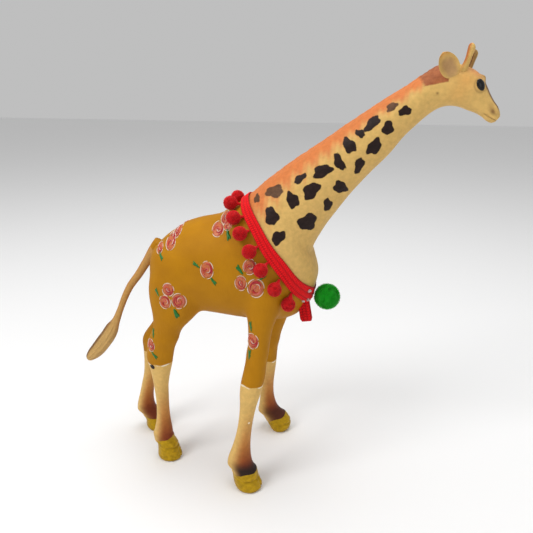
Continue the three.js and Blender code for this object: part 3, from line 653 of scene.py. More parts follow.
# Dark touches on the nostril, a dot on the cheek and the far brow, and painted shade above the nostril.
dark_marks_and_shade = (1.1 * swell(168.6, 252.4, 2.0, 1.3, -40) + 0.9 * swell(137.8, 261.8, 0.8, 0.7)
          + 0.8 * far_brow + 0.5 * swell(167.2, 255.2, 1.6, 1.8))
dark_marks_and_shade = np.clip(dark_marks_and_shade, 0, 1)
neck_tint = ring_mix(neck_tint, UMBER, np.clip(0.9 * nose + 0.75 * dark_marks_and_shade, 0, 1))
neck_tint = ring_mix(neck_tint, UMBER, 0.55 * mouth * side_on)
eye_rim = np.exp(-((np.hypot((nx - EYE[0]) / 3.3, (nz - EYE[2]) / 3.9) - 1) / 0.16) ** 2) * side_on
neck_tint = ring_mix(neck_tint, UMBER, 0.35 * eye_rim)


def with_ends(values):
    """Grid values as vertex values, the two end caps taking their rings' mean."""
    flat = values.reshape(-1, *values.shape[2:])
    first, last = (values[end].mean(axis=0, keepdims=True) for end in (0, -1))
    return np.concatenate([flat, first, last])


moved = np.where(ny >= 0, LEFT_AHEAD, 0.0)
dark = spot_depth(nx + AHEAD - moved, nz - LEFT_RISE * moved, SPOTS)
pale = spot_depth(nx + AHEAD - moved, nz - LEFT_RISE * moved, PALE_SPOTS)
# The brown crest behind the ears has a slanting rear end, a nearly level lower edge and an upright front.
crest = np.minimum(0.3 * (nx - 124.5 - 0.6 * (272 - nz)), nz - (265.0 + 0.19 * (nx - 130.6)))
crest = np.clip(np.minimum(crest, 144.2 - nx) + 1, 0, 4)
neck_vinyl = painted_vinyl("neck_vinyl", (260.0, 1100.0, 1100.0), 0.40, (0.0, math.radians(40), 0.0))
neck_piece = piece("neck_and_head_moulding", neck_verts, neck_faces, neck_vinyl)
for key, values in (("tint", neck_tint), ("spots", dark), ("pale_spots", pale), ("crest", crest)):
    attribute(neck_piece.data, key, with_ends(values))
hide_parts("neck_and_head")
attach(neck_piece, "figure")


# ---------------------------------------------------------------------------
# Ears, horns and eyes: small pieces that plug into the head. The ears are
# cupped leaves, the horns carry moulded fur and the eyes are glossy beads.
# ---------------------------------------------------------------------------
def head_place(x, y, z, side=1):
    """A place on the unturned head, carried round with it."""
    return turned(np.array([x + AHEAD, y * side, z]))


EAR_ROWS, EAR_SIDES = 40, 64
EAR_HALF_WIDTH, EAR_ROOT_HALF = 5.7, 3.0
EAR_INSIDE = np.array([0.42, 0.24, 0.12])
for side, side_name in ((-1, "right"), (1, "left")):
    root, tip = head_place(147.4, 7.2, 268.6, side), head_place(139, 15.4, 282.6, side)
    axis = tip - root
    length = np.linalg.norm(axis)
    axis /= length
    broad_way = np.cross(axis, (0.0, side, 0.0))
    broad_way /= np.linalg.norm(broad_way)
    face = np.cross(broad_way, axis)
    if face[1] * side < 0:
        face = -face
    t = np.linspace(0.0, 1.0, EAR_ROWS)[:, None]
    k = np.linspace(0.0, 2 * math.pi, EAR_SIDES, endpoint=False)[None, :]
    half = EAR_HALF_WIDTH * np.sqrt(np.clip(1 - ((t - 0.56) / 0.46) ** 2, 0, 1)) * (1 - 0.12 * t)
    half = np.maximum(half, EAR_ROOT_HALF * smoothstep(1.0, 0.0, t) ** 0.5)
    half = np.where(t > 0.985, half * 0.6, half)
    u = np.cos(k)
    thick = np.sin(k) * (0.75 + 0.35 * (1 - t))
    hollow = 1.5 * smoothstep(0.1, 0.5, t) * (1 - u ** 2) * (np.sin(k) > 0)
    cup = 2.1 * (u ** 2) * smoothstep(0.05, 0.35, t) - hollow
    bend = -0.9 * np.sin(math.pi * t)
    ear = (root + axis * (t * length)[..., None] + broad_way * (half * u)[..., None]
           + face * (thick + cup * half / EAR_HALF_WIDTH + bend)[..., None])
    verts, faces = tube(ear)
    blade = piece(f"ear_{side_name}_leaf", verts, faces, neck_vinyl)
    inner = (np.sin(k) > 0) * smoothstep(1.0, 0.35, np.abs(u))
    inner = inner * smoothstep(0.95, 0.6, t) * smoothstep(0.0, 0.3, t)
    rim_warm = smoothstep(0.8, 1.0, t) * 0.6 + 0 * u
    ear_tint = ring_mix(np.broadcast_to(CREAM, ear.shape), EAR_INSIDE, 0.75 * inner)
    ear_tint = ring_mix(ear_tint, BLUSH, rim_warm)
    attribute(blade.data, "tint", with_ends(ear_tint))
    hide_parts(f"ear_{side_name}")
    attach(blade, "figure")

# Each horn's root and tip on the unturned head.
HORNS = {"right": ((149.3, -4.8, 271.0), (154.3, -6.4, 287.6)),
         "left": ((150.6, 4.6, 270.0), (155.4, 5.6, 284.8))}
for side_name, (low, high) in HORNS.items():
    root, tip = head_place(*low), head_place(*high)
    axis = tip - root
    length = np.linalg.norm(axis)
    axis /= length
    side_way = np.cross(axis, (0.0, 1.0, 0.0))
    side_way /= np.linalg.norm(side_way)
    third = np.cross(axis, side_way)
    t = np.linspace(0.0, 1.0, 60)[:, None]
    k = np.linspace(0.0, 2 * math.pi, 40, endpoint=False)[None, :]
    radius = 2.35 - 0.75 * smoothstep(0.0, 0.5, t) + 0.35 * smoothstep(0.55, 0.85, t)
    radius = radius * np.sqrt(np.clip(1 - ((t - 0.86) / 0.142).clip(0, 1) ** 2, 0.02, 1))
    radius = radius * (1 + 0.035 * np.sin(9 * k + 14 * t) + 0.02 * np.sin(17 * k - 40 * t))
    lean = -0.8 * np.sin(math.pi * t)
    horn = (root + axis * (t * length)[..., None] + side_way * (radius * np.cos(k) + lean)[..., None]
            + third * (radius * np.sin(k))[..., None])
    verts, faces = tube(horn)
    shaft = piece(f"horn_{side_name}_shaft", verts, faces, neck_vinyl)
    back = smoothstep(-0.1, 0.9, np.cos(k) * np.sign(side_way[0]) * -1) * smoothstep(0.15, 0.5, t)
    horn_tint = ring_mix(np.broadcast_to(CREAM, horn.shape), ORANGE * 0.8, 0.9 * back)
    if side_name == "left":
        # Painted shade: the far horn is darkened on its rear and on the side facing the near horn, for the
        # shade between the two horns.
        shade_between_horns = smoothstep(0.1, 0.8, -third[1] * np.sin(k) - side_way[1] * np.cos(k))
        shade_between_horns = shade_between_horns * smoothstep(0.1, 0.4, t)
        horn_tint = ring_mix(horn_tint, UMBER, np.clip(back + 0.6 * shade_between_horns, 0, 0.95))
    attribute(shaft.data, "tint", with_ends(horn_tint))
    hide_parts(f"horn_{side_name}")
    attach(shaft, "figure")

EYE_UP = np.array([-0.42, 0.0, 0.9])
EYE_HALF_WIDE, EYE_HALF_TALL, EYE_PROUD = 2.5, 3.4, 1.3
head_skin = BVHTree.FromPolygons(neck_verts.tolist(), neck_faces)
eye_gloss, tree, shader = new_material("eye_gloss")
shader.inputs["Roughness"].default_value = 0.2
shader.inputs["Specular IOR Level"].default_value = 0.3
haze = node(tree, "ShaderNodeTexNoise", Scale=500.0)
ramp = node(tree, "ShaderNodeMapRange", **{"To Min": 0.002, "To Max": 0.008})
tree.links.new(node(tree, "ShaderNodeTexCoord").outputs["Object"], haze.inputs["Vector"])
tree.links.new(haze.outputs["Fac"], ramp.inputs["Value"])
tree.links.new(ramp.outputs["Result"], shader.inputs["Base Color"])
for side, side_name in ((-1, "right"), (1, "left")):
    t = np.linspace(0.02, math.pi - 0.02, 32)[:, None]
    k = np.linspace(0.0, 2 * math.pi, 48, endpoint=False)[None, :]
    ring = np.sin(t)
    centre, outward = (np.array(v) for v in head_skin.find_nearest(Vector(head_place(*EYE, side)))[:2])
    tall = EYE_UP - outward * (outward @ EYE_UP)
    tall /= np.linalg.norm(tall)
    wide = np.cross(outward, tall)
    bead_grid = (centre + wide * (ring * np.cos(k) * EYE_HALF_WIDE)[..., None]
                 + tall * (ring * np.sin(k) * EYE_HALF_TALL)[..., None]
                 + outward * (np.cos(t) * EYE_PROUD + 0 * k)[..., None])
    verts, faces = tube(bead_grid)
    bead = piece(f"eye_{side_name}_bead", verts, faces, eye_gloss)
    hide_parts(f"eye_{side_name}")
    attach(bead, "figure")


# ---------------------------------------------------------------------------
# Tail: one soft moulding plugged into the rump, a round stalk that flattens
# into a combed tuft. Its top is painted over with the trunk's ochre.
# ---------------------------------------------------------------------------
# Stations: x, z, half thickness, half width; the last one only rounds the tip off.
TAIL = np.array([
    (-36, 162, 5, 5), (-41, 156, 4.4, 4.4), (-47.5, 147.4, 3.1, 3),
    (-54, 137.9, 2.8, 2.6), (-61.4, 128.2, 2.6, 2.4), (-66.7, 118.5, 2.4, 2.2), (-71, 108.8, 2.3, 2.1),
    (-75.2, 99.6, 3, 2.3), (-79.4, 92.4, 4.6, 2.6), (-84.4, 84.6, 5.2, 2.7), (-90.4, 77, 5, 2.6),
    (-96, 70.9, 4.3, 2.3), (-100.2, 66.4, 2.7, 1.7), (-101.6, 64.8, 0.8, 0.6)], dtype=float)
line = spline(TAIL, 260)
step = np.gradient(line[:, :2], axis=0)
step /= np.linalg.norm(step, axis=1, keepdims=True)
k = np.linspace(0.0, 2 * math.pi, 72, endpoint=False)[None, :]
t = np.linspace(0.0, 1.0, len(line))[:, None]
in_tuft = smoothstep(0.50, 0.62, t)
combed = 1.0 + 0.07 * in_tuft * np.sin(11 * k + 9 * t) + 0.05 * in_tuft * np.sin(19 * k - 14 * t)
thick = line[:, 2, None] * np.cos(k) * combed
wide = line[:, 3, None] * np.sin(k) * combed
tail = np.stack([line[:, 0, None] + AHEAD - step[:, 1, None] * thick, wide,
                 line[:, 1, None] + step[:, 0, None] * thick], axis=2)
verts, faces = tube(tail)
tail_piece = piece("tail_moulding", verts, faces, body_vinyl)
STALK = np.array([0.40, 0.15, 0.03])
TAN = np.array([0.46, 0.27, 0.10])
tail_tint = ring_mix(np.broadcast_to(STALK, tail.shape), TAN, smoothstep(0.35, 0.7, t) + 0 * k)
tail_tint = ring_mix(tail_tint, CREAM * 0.95, 0.45 * smoothstep(0.2, 1, np.sin(k) * -1) + 0 * t)
tail_tint = ring_mix(tail_tint, UMBER, 0.8 * in_tuft * smoothstep(0.45, 1.0, -np.cos(k)))
attribute(tail_piece.data, "tint", with_ends(tail_tint))
attribute(tail_piece.data, "ochre", with_ends(3 * smoothstep(0.075, 0.04, t) + 0 * k))
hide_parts("tail")
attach(tail_piece, "figure")


# ---------------------------------------------------------------------------
# Roses and leaves: thick strokes of acrylic paint laid over the ochre: a coral
# dab, a pale outline and red and pink curls, with green leaves beside them.
# ---------------------------------------------------------------------------
ground = BVHTree.FromPolygons((skin * MM).tolist(), quads.tolist())
WHITE = (0.74, 0.60, 0.52)
PINK = (0.60, 0.13, 0.10)
CRIMSON = (0.42, 0.010, 0.022)
CORAL = (0.50, 0.12, 0.035)
ORANGE_RED = (0.52, 0.06, 0.012)
LEAF = (0.002, 0.15, 0.012)

paint, tree, shader = new_material("flower_paint")
shader.inputs["Roughness"].default_value = 0.42
stroke_tint = node(tree, "ShaderNodeAttribute", attribute_name="tint")
bristle = node(tree, "ShaderNodeTexNoise", Scale=1500.0, Detail=2.0)
tree.links.new(node(tree, "ShaderNodeTexCoord").outputs["Object"], bristle.inputs["Vector"])
vary = node(tree, "ShaderNodeMapRange", **{"From Min": 0.3, "From Max": 0.7, "To Min": 0.72, "To Max": 1.25})
tree.links.new(bristle.outputs["Fac"], vary.inputs["Value"])
streaked = node(tree, "ShaderNodeVectorMath", operation="MULTIPLY")
tree.links.new(stroke_tint.outputs["Color"], streaked.inputs[0])
tree.links.new(vary.outputs["Result"], streaked.inputs[1])
tree.links.new(streaked.outputs["Vector"], shader.inputs["Base Color"])
ridge_bump = node(tree, "ShaderNodeBump", Strength=0.5, Distance=0.12 * MM)
tree.links.new(bristle.outputs["Fac"], ridge_bump.inputs["Height"])
tree.links.new(ridge_bump.outputs["Normal"], shader.inputs["Normal"])


def onto_skin(x, z, side):
    """The place on the painted skin met by a level line from the given side, with its normal."""
    start = Vector((x * MM, side * 0.12, z * MM))
    hit, normal, _, _ = ground.ray_cast(start, Vector((0, -side, 0)))
    if hit is None:
        hit, normal, _, _ = ground.find_nearest(Vector((x * MM, side * 0.004, z * MM)))
    return np.array(hit) / MM, np.array(normal)


def stroke(points, width, side, height):
    """A raised ribbon of paint: four-cornered rings, tapered at both ends, along points given as x, z."""
    places = [onto_skin(x, z, side) for x, z in points]
    line = np.array([p for p, _ in places])
    up = np.array([n for _, n in places])
    way = np.gradient(line, axis=0)
    way /= np.maximum(np.linalg.norm(way, axis=1, keepdims=True), 1e-6)
    side_way = np.cross(way, up)
    t = np.linspace(0, 1, len(line))
    half = (width / 2 * np.sqrt(np.clip(np.sin(math.pi * np.clip(t * 0.92 + 0.05, 0, 1)), 0.06, 1)))[:, None]
    grid = np.stack([line + side_way * half + up * 0.07, line + up * height + side_way * half * 0.25,
                     line - side_way * half + up * 0.07, line - up * 0.25], axis=1)
    return tube(grid)


def arc(cx, cz, radius, start, sweep, count, squash):
    """`count` points on part of a circle, `squash` times as tall as wide, from `start` in degrees."""
    a = np.radians(np.linspace(start, start + sweep, count))
    return [(cx + radius * math.cos(v), cz + radius * squash * math.sin(v)) for v in a]


def disc(cx, cz, size, side, squash):
    """A thin round dab of paint that lies on the skin: rings from a sunk rim to the middle."""
    a = np.linspace(0, 2 * math.pi, 28, endpoint=False)
    wavy = 1 + 0.05 * np.sin(3 * a + cx)
    rings = []
    for share, lift in ((1.0, -0.2), (1.0, 0.02), (0.8, 0.05), (0.5, 0.06), (0.1, 0.06)):
        row = [onto_skin(cx + size * share * w * math.cos(v),
                         cz + size * squash * share * w * math.sin(v), side) for v, w in zip(a, wavy)]
        rings.append(np.array([p + n * lift for p, n in row]))
    return tube(np.stack(rings))


# The start and sweep of each piece of a rose's outline, in degrees. Then its curls: radius,
# place ahead and place up as shares of the rose's size, start, sweep and colour.
OUTLINE = ((15, 105), (140, 85), (240, 60), (315, 45))
CURLS = (
    (0.72, 0.05, 0.0, 200, 140, CRIMSON), (0.70, -0.05, 0.05, 10, 100, PINK),
    (0.52, 0.12, 0.1, 110, 130, CRIMSON), (0.46, -0.14, -0.12, 280, 120, ORANGE_RED),
    (0.34, 0.16, 0.08, 20, 140, WHITE), (0.30, -0.02, -0.2, 190, 130, CRIMSON),
    (0.16, 0.0, 0.05, 60, 200, PINK))


def rose(cx, cz, size, turn, squash, side):
    """Strokes of one rose: a coral dab, a broken pale outline, then loose curls of petals."""
    strokes = [(disc(cx, cz, size * 0.93, side, squash), CORAL)]
    for start, sweep in OUTLINE:
        rim_line = arc(cx, cz, size, start + turn, sweep, 14, squash)
        strokes.append((stroke(rim_line, size * 0.13, side, 0.34), WHITE))
    for n, (radius, ahead, above_middle, start, sweep, shade) in enumerate(CURLS):
        middle_x, middle_z = cx + size * ahead, cz + size * above_middle * squash
        curl = arc(middle_x, middle_z, size * radius, start + turn + 23 * n, sweep, 12, squash)
        width = size * (0.22 if shade is not WHITE else 0.11)
        strokes.append((stroke(curl, width, side, 0.36 + 0.03 * n), shade))
    return strokes


def leaf(cx, cz, length, tilt, width, side):
    """A leaf of two bowed brush strokes, a long one and a shorter one that forks off near its
    middle; `width` is a share of the length."""
    strokes = []
    for share, spread, slip in ((1.15, 0.0, 0.0), (0.7, 32.0, 0.18)):
        turn = math.radians(tilt + spread)
        t = np.linspace(-0.5, 0.5, 12)
        bow = 0.08 * length * (1 - (2 * t) ** 2)
        points = [(cx + length * ((slip + share * a) * math.cos(turn)) - b * math.sin(turn),
                   cz + length * ((slip + share * a) * math.sin(turn)) + b * math.cos(turn))
                  for a, b in zip(t, bow)]
        strokes.append((stroke(points, length * width, side, 0.26), LEAF))
    return strokes


def flowers(name, roses, leaves, moved_ahead, side):
    """One group of roses and leaves as a piece, each stroke in its own colour."""
    strokes = []
    for x, *rest in roses:
        strokes += rose(x + moved_ahead, *rest, side)
    for x, *rest in leaves:
        strokes += leaf(x + moved_ahead, *rest, side)
    verts, faces = together([s for s, _ in strokes])
    tints = np.concatenate([np.tile(c, (len(s[0]), 1)) for s, c in strokes])
    obj = piece(name, verts, faces, paint)
    attribute(obj.data, "tint", tints)
    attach(obj, "figure")


# Each group's roses as x, z, size, turn in degrees and squash, then its leaves as x, z,
# length, tilt in degrees and width. The left side has the same groups a little further ahead.
BOTH_SIDES = {
    "roses_rump": (
        ((-54.5, 174.8, 3.6, 20, 1.1), (-56.8, 168.5, 4.0, 150, 1.15), (-65, 163.5, 2.7, 60, 1.15)),
        ((-63, 159.4, 5, -60, 0.30),)),
    "roses_withers": (
        ((-24.4, 178.9, 4.0, 80, 1.0), (-20.9, 185.1, 3.3, 0.0, 1.0), (-18.1, 181.6, 2.9, 200, 1.0)),
        ((-17.4, 176.6, 6, -75, 0.30),)),
    "rose_flank": (
        ((-28.8, 155.2, 4.3, 130, 1.3),),
        ((-36, 158.1, 5, 140, 0.30), (-25.1, 148.1, 5.4, -60, 0.30))),
    "roses_thigh": (
        ((-56.4, 139, 4.1, 40, 1.05), (-59, 130.3, 4.0, 170, 1.2), (-49.5, 131.5, 4.7, 290, 1.15)),
        ((-52.4, 122.3, 6, -80, 0.42), (-64.4, 136.2, 5, 110, 0.30))),
    "roses_shoulder": (
        ((-6.9, 148.2, 3.7, 10, 1.35), (2.5, 145.3, 5.2, 220, 1.15), (-1.4, 158.9, 4.0, 100, 1.2)),
        ((-7.1, 157.2, 6, 120, 0.30), (6.4, 151.5, 4.6, 30, 0.30))),
}
RIGHT_ONLY = {
    "rose_hock": (
        ((-72.9, 95.4, 3.1, 90, 1.5),),
        ((-70.1, 104.9, 6, 85, 0.27), (-71.2, 87.9, 6, -60, 0.27))),
    "rose_foreleg": (
        ((0.6, 109.6, 4.2, 60, 1.25),),
        ((-0.2, 119.6, 6, 92, 0.27), (-0.8, 100.1, 6, 80, 0.27))),
}
for side, side_name, moved_ahead, groups in (
        (-1, "right", 0.0, BOTH_SIDES), (1, "left", 3.0, BOTH_SIDES), (-1, "right", 0.0, RIGHT_ONLY)):
    for group_name, (roses, leaves) in groups.items():
        flowers(f"{group_name}_{side_name}", roses, leaves, moved_ahead, side)


# ---------------------------------------------------------------------------
# Braid: a chain-stitched band of red yarn glued round the collar line, with
# its spare end folded double and hanging at the chest.
# ---------------------------------------------------------------------------
BRAID_WIDTH = 7.8
BRAID_THICK = 1.6
STITCH = 1.4
BRAID_ROWS = 1100
BRAID_STOP = 174         # degrees from the withers to where each end of the band stops
FOLD_ROWS = 260
FOLD_LENGTH, FOLD_STRAIGHT = 30.0, 10.0
HALF_FOLD = 0.95         # half the distance between the two layers
HANG_STRETCH, HANG_RISE = 1.28, 9.0
collar, behind, beyond = TRUNK[-1], TRUNK[-2], NECK[1]
down = np.array([collar[2] - collar[0], 0, collar[3] - collar[1]])
down /= np.linalg.norm(down)
up_neck = np.array([-down[2], 0.0, down[0]])


def middle_of(station):
    """The middle of a station's top and bottom points."""
    return np.array([(station[0] + station[2]) / 2, 0, (station[1] + station[3]) / 2])


back_step = float(up_neck @ (middle_of(collar) - middle_of(behind)))
fore_step = float(up_neck @ (middle_of(beyond) - middle_of(collar)))


def near_collar(distance, angle, grow):
    """A place `grow` mm off the skin and `distance` mm up the neck from the collar line, at
    an angle from the withers."""
    distance, angle, grow = np.broadcast_arrays(distance, angle, grow)
    t = np.where(distance > 0, distance / fore_step, -distance / back_step)
    other = np.where(distance[..., None] > 0, beyond, behind)
    station = collar + (other - collar) * t[..., None]
    top_x, top_z, bottom_x, bottom_z, half = (station[..., k] for k in range(5))
    height = np.hypot(top_x - bottom_x, top_z - bottom_z)
    up = np.cos(angle) * (height / 2 + grow) / height
    return np.stack([(top_x + bottom_x) / 2 + up * (top_x - bottom_x) + AHEAD, -np.sin(angle) * (half + grow),
                     (top_z + bottom_z) / 2 + up * (top_z - bottom_z)], axis=-1)


def yarn(name, dark, light):
    """Dyed acrylic yarn: painted shade in its hollows and painted light on top, from its lift attribute, with
    a soft sheen and a fibrous bump.
    """
    material, tree, shader = new_material(name)
    shader.inputs["Roughness"].default_value = 0.85
    shader.inputs["Sheen Weight"].default_value = 0.08
    shader.inputs["Sheen Roughness"].default_value = 0.5
    shader.inputs["Specular IOR Level"].default_value = 0.25
    place = node(tree, "ShaderNodeTexCoord")
    fibre = node(tree, "ShaderNodeTexNoise", Scale=1400.0, Detail=3.0, Roughness=0.7)
    tree.links.new(place.outputs["Object"], fibre.inputs["Vector"])
    lift = node(tree, "ShaderNodeAttribute", attribute_name="lift")
    blend = node(tree, "ShaderNodeMath", operation="MULTIPLY_ADD")
    blend.inputs[1].default_value = 0.5
    tree.links.new(fibre.outputs["Fac"], blend.inputs[0])
    tree.links.new(lift.outputs["Fac"], blend.inputs[2])
    shade = node(tree, "ShaderNodeMix", data_type="RGBA")
    reach = node(tree, "ShaderNodeMapRange", **{"From Min": 0.2, "From Max": 1.0})
    tree.links.new(blend.outputs[0], reach.inputs["Value"])
    tree.links.new(reach.outputs["Result"], shade.inputs[0])
    shade.inputs[6].default_value = (*dark, 1)
    shade.inputs[7].default_value = (*light, 1)
    tree.links.new(shade.outputs[2], shader.inputs["Base Color"])
    bump = node(tree, "ShaderNodeBump", Strength=0.6, Distance=0.25 * MM)
    tree.links.new(fibre.outputs["Fac"], bump.inputs["Height"])
    tree.links.new(bump.outputs["Normal"], shader.inputs["Normal"])
    return material


# Each yarn's shaded and lit colour: painted shade and painted light of one dye.
red_yarn = yarn("red_yarn", (0.30, 0.0, 0.002), (0.86, 0.003, 0.007))
green_yarn = yarn("green_yarn", (0.0, 0.14, 0.003), (0.0, 0.48, 0.006))


def stitches(along_mm, across):
    """Height of the chain stitches: three columns of slanting loops; `across` runs from -1 to 1."""
    column = (across + 1) * 1.5
    in_column = np.abs((column % 1) - 0.5) * 2
    lean = np.where(np.floor(column) % 2 == 0, 1.0, -1.0) * (0.5 - in_column) * 0.7
    loop = np.abs(np.sin(math.pi * (along_mm / STITCH + lean)))
    return (0.05 + 0.95 * loop) * (1 - in_column ** 4)


k = np.linspace(0, 2 * math.pi, 56, endpoint=False)[None, :]
angle = np.radians(np.linspace(-BRAID_STOP, BRAID_STOP, BRAID_ROWS))[:, None]
middle_line = near_collar(np.zeros(BRAID_ROWS), angle[:, 0], np.zeros(BRAID_ROWS))
steps = np.linalg.norm(np.diff(middle_line, axis=0), axis=1)
arc_mm = np.cumsum(np.concatenate([[0], steps]))[:, None]
across = np.clip(np.cos(k) * 1.08, -1, 1) + 0 * angle
outside = np.sin(k) > 0
loops = stitches(arc_mm, across) * outside
grow = 0.35 + (np.sin(k) * 0.5 + 0.5) ** 0.6 * (BRAID_THICK - 0.5) + 0.45 * loops * (np.abs(across) < 0.995)
braid_grid = near_collar(across * BRAID_WIDTH / 2 + 0.25 * np.sin(arc_mm * 0.21), angle + 0 * k, grow)
verts, faces = tube(braid_grid)
braid = piece("braid_band", verts, faces, red_yarn)
# Painted light on the raised stitches and painted shade between them.
attribute(braid.data, "lift", with_ends(loops * 0.9))
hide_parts("braid")
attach(braid, "figure")


def middle_of_box(node_name):
    """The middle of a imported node's box, in millimetres."""
    low, high = (np.array(corner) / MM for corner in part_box(node_name))
    return (low + high) / 2


# The spare end runs down straight, round a bend and up again, as a path along its own length.
fold_middle = middle_of_box("braid_end")
fold_across = across[:FOLD_ROWS]
fold_arc = np.linspace(0, 1, FOLD_ROWS)[:, None] * FOLD_LENGTH
going_down = fold_arc < FOLD_STRAIGHT
going_up = fold_arc > FOLD_LENGTH - FOLD_STRAIGHT
turn = np.clip((fold_arc - FOLD_STRAIGHT) / (FOLD_LENGTH - 2 * FOLD_STRAIGHT), 0, 1) * math.pi
depth = np.where(going_down, -HALF_FOLD, np.where(going_up, HALF_FOLD, -HALF_FOLD * np.cos(turn)))
bend_drop = -FOLD_STRAIGHT - 1.6 * np.sin(turn)
drop = np.where(going_down, -fold_arc, np.where(going_up, fold_arc - FOLD_LENGTH, bend_drop))
loops = stitches(fold_arc, fold_across)
skin_way = np.where(going_down, -1.0, np.where(going_up, 1.0, -np.cos(turn)))
side_lift = (0.3 + 0.45 * loops) * np.sin(k)
wide_way = np.array([0.95, -0.18, 0.25])
wide_way /= np.linalg.norm(wide_way)
hang_way = np.array([-0.22, 0.25, 0.94])
hang_way /= np.linalg.norm(hang_way)
thick_way = np.cross(wide_way, hang_way)
fold = (fold_middle + wide_way * (fold_across * BRAID_WIDTH / 2 * (1 - 0.22 * np.sin(turn)))[..., None]
        + hang_way * (drop * HANG_STRETCH + HANG_RISE)[..., None]
        + thick_way * (depth + skin_way * side_lift * 1.2)[..., None])
verts, faces = tube(fold)
folded_end = piece("braid_folded_end", verts, faces, red_yarn)
# Painted light on the raised stitches and painted shade between them.
attribute(folded_end.data, "lift", with_ends(loops * 0.8))
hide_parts("braid_end")
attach(folded_end, "figure")


# ---------------------------------------------------------------------------
# Pom-poms: balls of cut yarn tied on a short stem at the braid's rear edge,
# and one larger green ball glued to the chest over the join of the braid.
# ---------------------------------------------------------------------------
RED_BALL, RED_FIBRES, RED_FIBRE_LENGTH = 4.55, 1500, 0.4
GREEN_BALL, GREEN_FIBRES, GREEN_FIBRE_LENGTH = 8.6, 4200, 0.6
GREEN_SEED = 99
FIBRE_RADIUS = 0.13
THIRDS_OF_A_TURN = (0, 2.094, 4.189)


def pompom(name, centre, radius, material, seed, fibres, length):
    """A lumpy ball with `fibres` three-sided yarn ends standing out of it on a sunflower spiral."""
    rng = np.random.default_rng(seed)
    rows, sides = 26, 44
    t = np.linspace(0.04, math.pi - 0.04, rows)[:, None]
    k = np.linspace(0, 2 * math.pi, sides, endpoint=False)[None, :]
    way = np.stack([np.sin(t) * np.cos(k), np.sin(t) * np.sin(k), np.cos(t) + 0 * k], axis=-1)
    lumps = sum(0.018 * np.sin(way @ rng.normal(0, 1, 3) * rng.uniform(4, 9) + rng.uniform(0, 6))
                for _ in range(9))
    core = centre + way * (radius * (0.93 + lumps))[..., None]
    core_verts, core_faces = tube(core)
    n = np.arange(fibres)
    height = 1 - 2 * (n + 0.5) / fibres
    spin = n * math.pi * (3 - math.sqrt(5))
    level = np.sqrt(1 - height ** 2)
    root_way = np.stack([level * np.cos(spin), level * np.sin(spin), height], 1)
    root_way += rng.normal(0, 0.03, root_way.shape)
    root_way /= np.linalg.norm(root_way, axis=1, keepdims=True)
    lean = root_way + rng.normal(0, 0.22, root_way.shape)
    lean /= np.linalg.norm(lean, axis=1, keepdims=True)
    a = np.cross(lean, rng.normal(0, 1, lean.shape))
    a /= np.linalg.norm(a, axis=1, keepdims=True)
    b = np.cross(lean, a)
    root = centre + root_way * radius * 0.88
    reach = (radius * 0.12 + length * rng.uniform(0.3, 1.0, fibres))[:, None]
    corners = [root + FIBRE_RADIUS * (a * math.cos(v) + b * math.sin(v)) for v in THIRDS_OF_A_TURN]
    fibre_verts = np.stack(corners + [root + lean * reach], axis=1).reshape(-1, 3)
    base = np.arange(fibres) * 4
    fibre_faces = np.concatenate([np.stack([base + i for i in face], 1)
                                  for face in ((0, 1, 3), (1, 2, 3), (2, 0, 3), (0, 2, 1))])
    verts, faces = together([(core_verts, core_faces), (fibre_verts, fibre_faces.tolist())])
    obj = piece(name, verts, faces, material)
    # Painted shade on the core and the fibre roots and painted light at the fibre tips, with a random tone for
    # each fibre.
    lift = np.concatenate([np.full(len(core_verts), 0.15), np.tile([0.35, 0.35, 0.35, 1.0], fibres)])
    lift += np.concatenate([np.zeros(len(core_verts)), np.repeat(rng.normal(0, 0.12, fibres), 4)])
    attribute(obj.data, "lift", lift)
    return obj


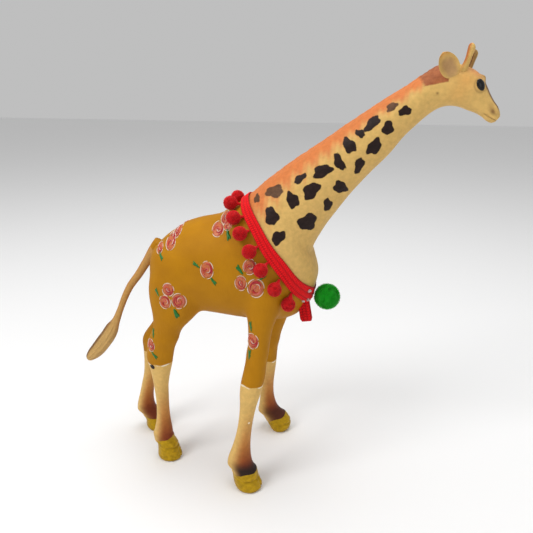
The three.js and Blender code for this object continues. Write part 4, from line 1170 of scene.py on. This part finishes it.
red_poms = sorted(n for n in frame["nodes"] if n.startswith("pompom_") and n[7:].isdigit())
for seed, name in enumerate(red_poms):
    centre = middle_of_box(name)
    ball = pompom(name + "_ball", centre, RED_BALL, red_yarn, seed, RED_FIBRES, RED_FIBRE_LENGTH)
    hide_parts(name)
    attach(ball, name + "_swing")
    # The stem widens from the hinge at the braid into the ball, and starts a little inside the braid.
    joint = next(j for j in frame["record"]["behaviour"]["joints"] if j["child"] == name + "_swing")
    edge = np.array(joint["pos_m"]) / MM
    way = centre - edge
    t = np.linspace(0, 1, 14)[:, None]
    k = np.linspace(0, 2 * math.pi, 18, endpoint=False)[None, :]
    length = np.linalg.norm(way)
    way = way / length
    a = np.cross(way, (0.3, 0.5, 0.8))
    a /= np.linalg.norm(a)
    b = np.cross(way, a)
    radius = 0.85 + 1.9 * smoothstep(0.15, 1.0, t) + 0.12 * np.sin(6 * k + 5 * t)
    stem = (edge + way * (-0.9 + t * (length * 0.75 + 0.5))[..., None] + a * (radius * np.cos(k))[..., None]
            + b * (radius * np.sin(k))[..., None])
    verts, faces = tube(stem)
    yarn_stem = piece(name + "_yarn_stem", verts, faces, red_yarn)
    # Painted light on the stem's twisted ridges and painted shade in its grooves.
    attribute(yarn_stem.data, "lift", with_ends(0.35 + 0.2 * np.sin(6 * k + 5 * t)))
    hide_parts(name + "_stem")
    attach(yarn_stem, name + "_swing")

green = pompom("pompom_green_ball", middle_of_box("pompom_green"), GREEN_BALL, green_yarn, GREEN_SEED,
               GREEN_FIBRES, GREEN_FIBRE_LENGTH)
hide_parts("pompom_green")
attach(green, "figure")


# ---------------------------------------------------------------------------
# Glue: three small dabs of cloudy hot glue, left on the braid near the green
# pom-pom. Each lies where it set, slightly proud of the stitches.
# ---------------------------------------------------------------------------
glue, tree, shader = new_material("clear_glue")
shader.inputs["Roughness"].default_value = 0.12
shader.inputs["Transmission Weight"].default_value = 0.6
cloud = node(tree, "ShaderNodeTexNoise", Scale=700.0)
tree.links.new(node(tree, "ShaderNodeTexCoord").outputs["Object"], cloud.inputs["Vector"])
milky = node(tree, "ShaderNodeMix", data_type="RGBA")
milky.inputs[6].default_value = (0.75, 0.72, 0.68, 1)
milky.inputs[7].default_value = (0.95, 0.94, 0.92, 1)
tree.links.new(cloud.outputs["Fac"], milky.inputs[0])
tree.links.new(milky.outputs[2], shader.inputs["Base Color"])
# Each dab's distance up the neck from the collar line, angle in degrees and size.
DABS = ((2.6, 152, 1.5), (-1.5, 158, 1.2), (-3.4, 150, 1.0))
for number, (distance, degrees, size) in enumerate(DABS):
    place = near_collar(np.array(distance), np.array(math.radians(degrees)), np.array(BRAID_THICK + 0.5))
    t = np.linspace(0.05, math.pi - 0.05, 12)[:, None]
    k = np.linspace(0, 2 * math.pi, 20, endpoint=False)[None, :]
    shape = np.stack([np.sin(t) * np.cos(k), np.sin(t) * np.sin(k) * 0.8, np.cos(t) * 0.7 + 0 * k], axis=-1)
    verts, faces = tube(place + shape * size * (1 + 0.15 * np.sin(3 * k + number))[..., None])
    dab = piece(f"glue_dab_{number + 1}", verts, faces, glue)
    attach(dab, "figure")
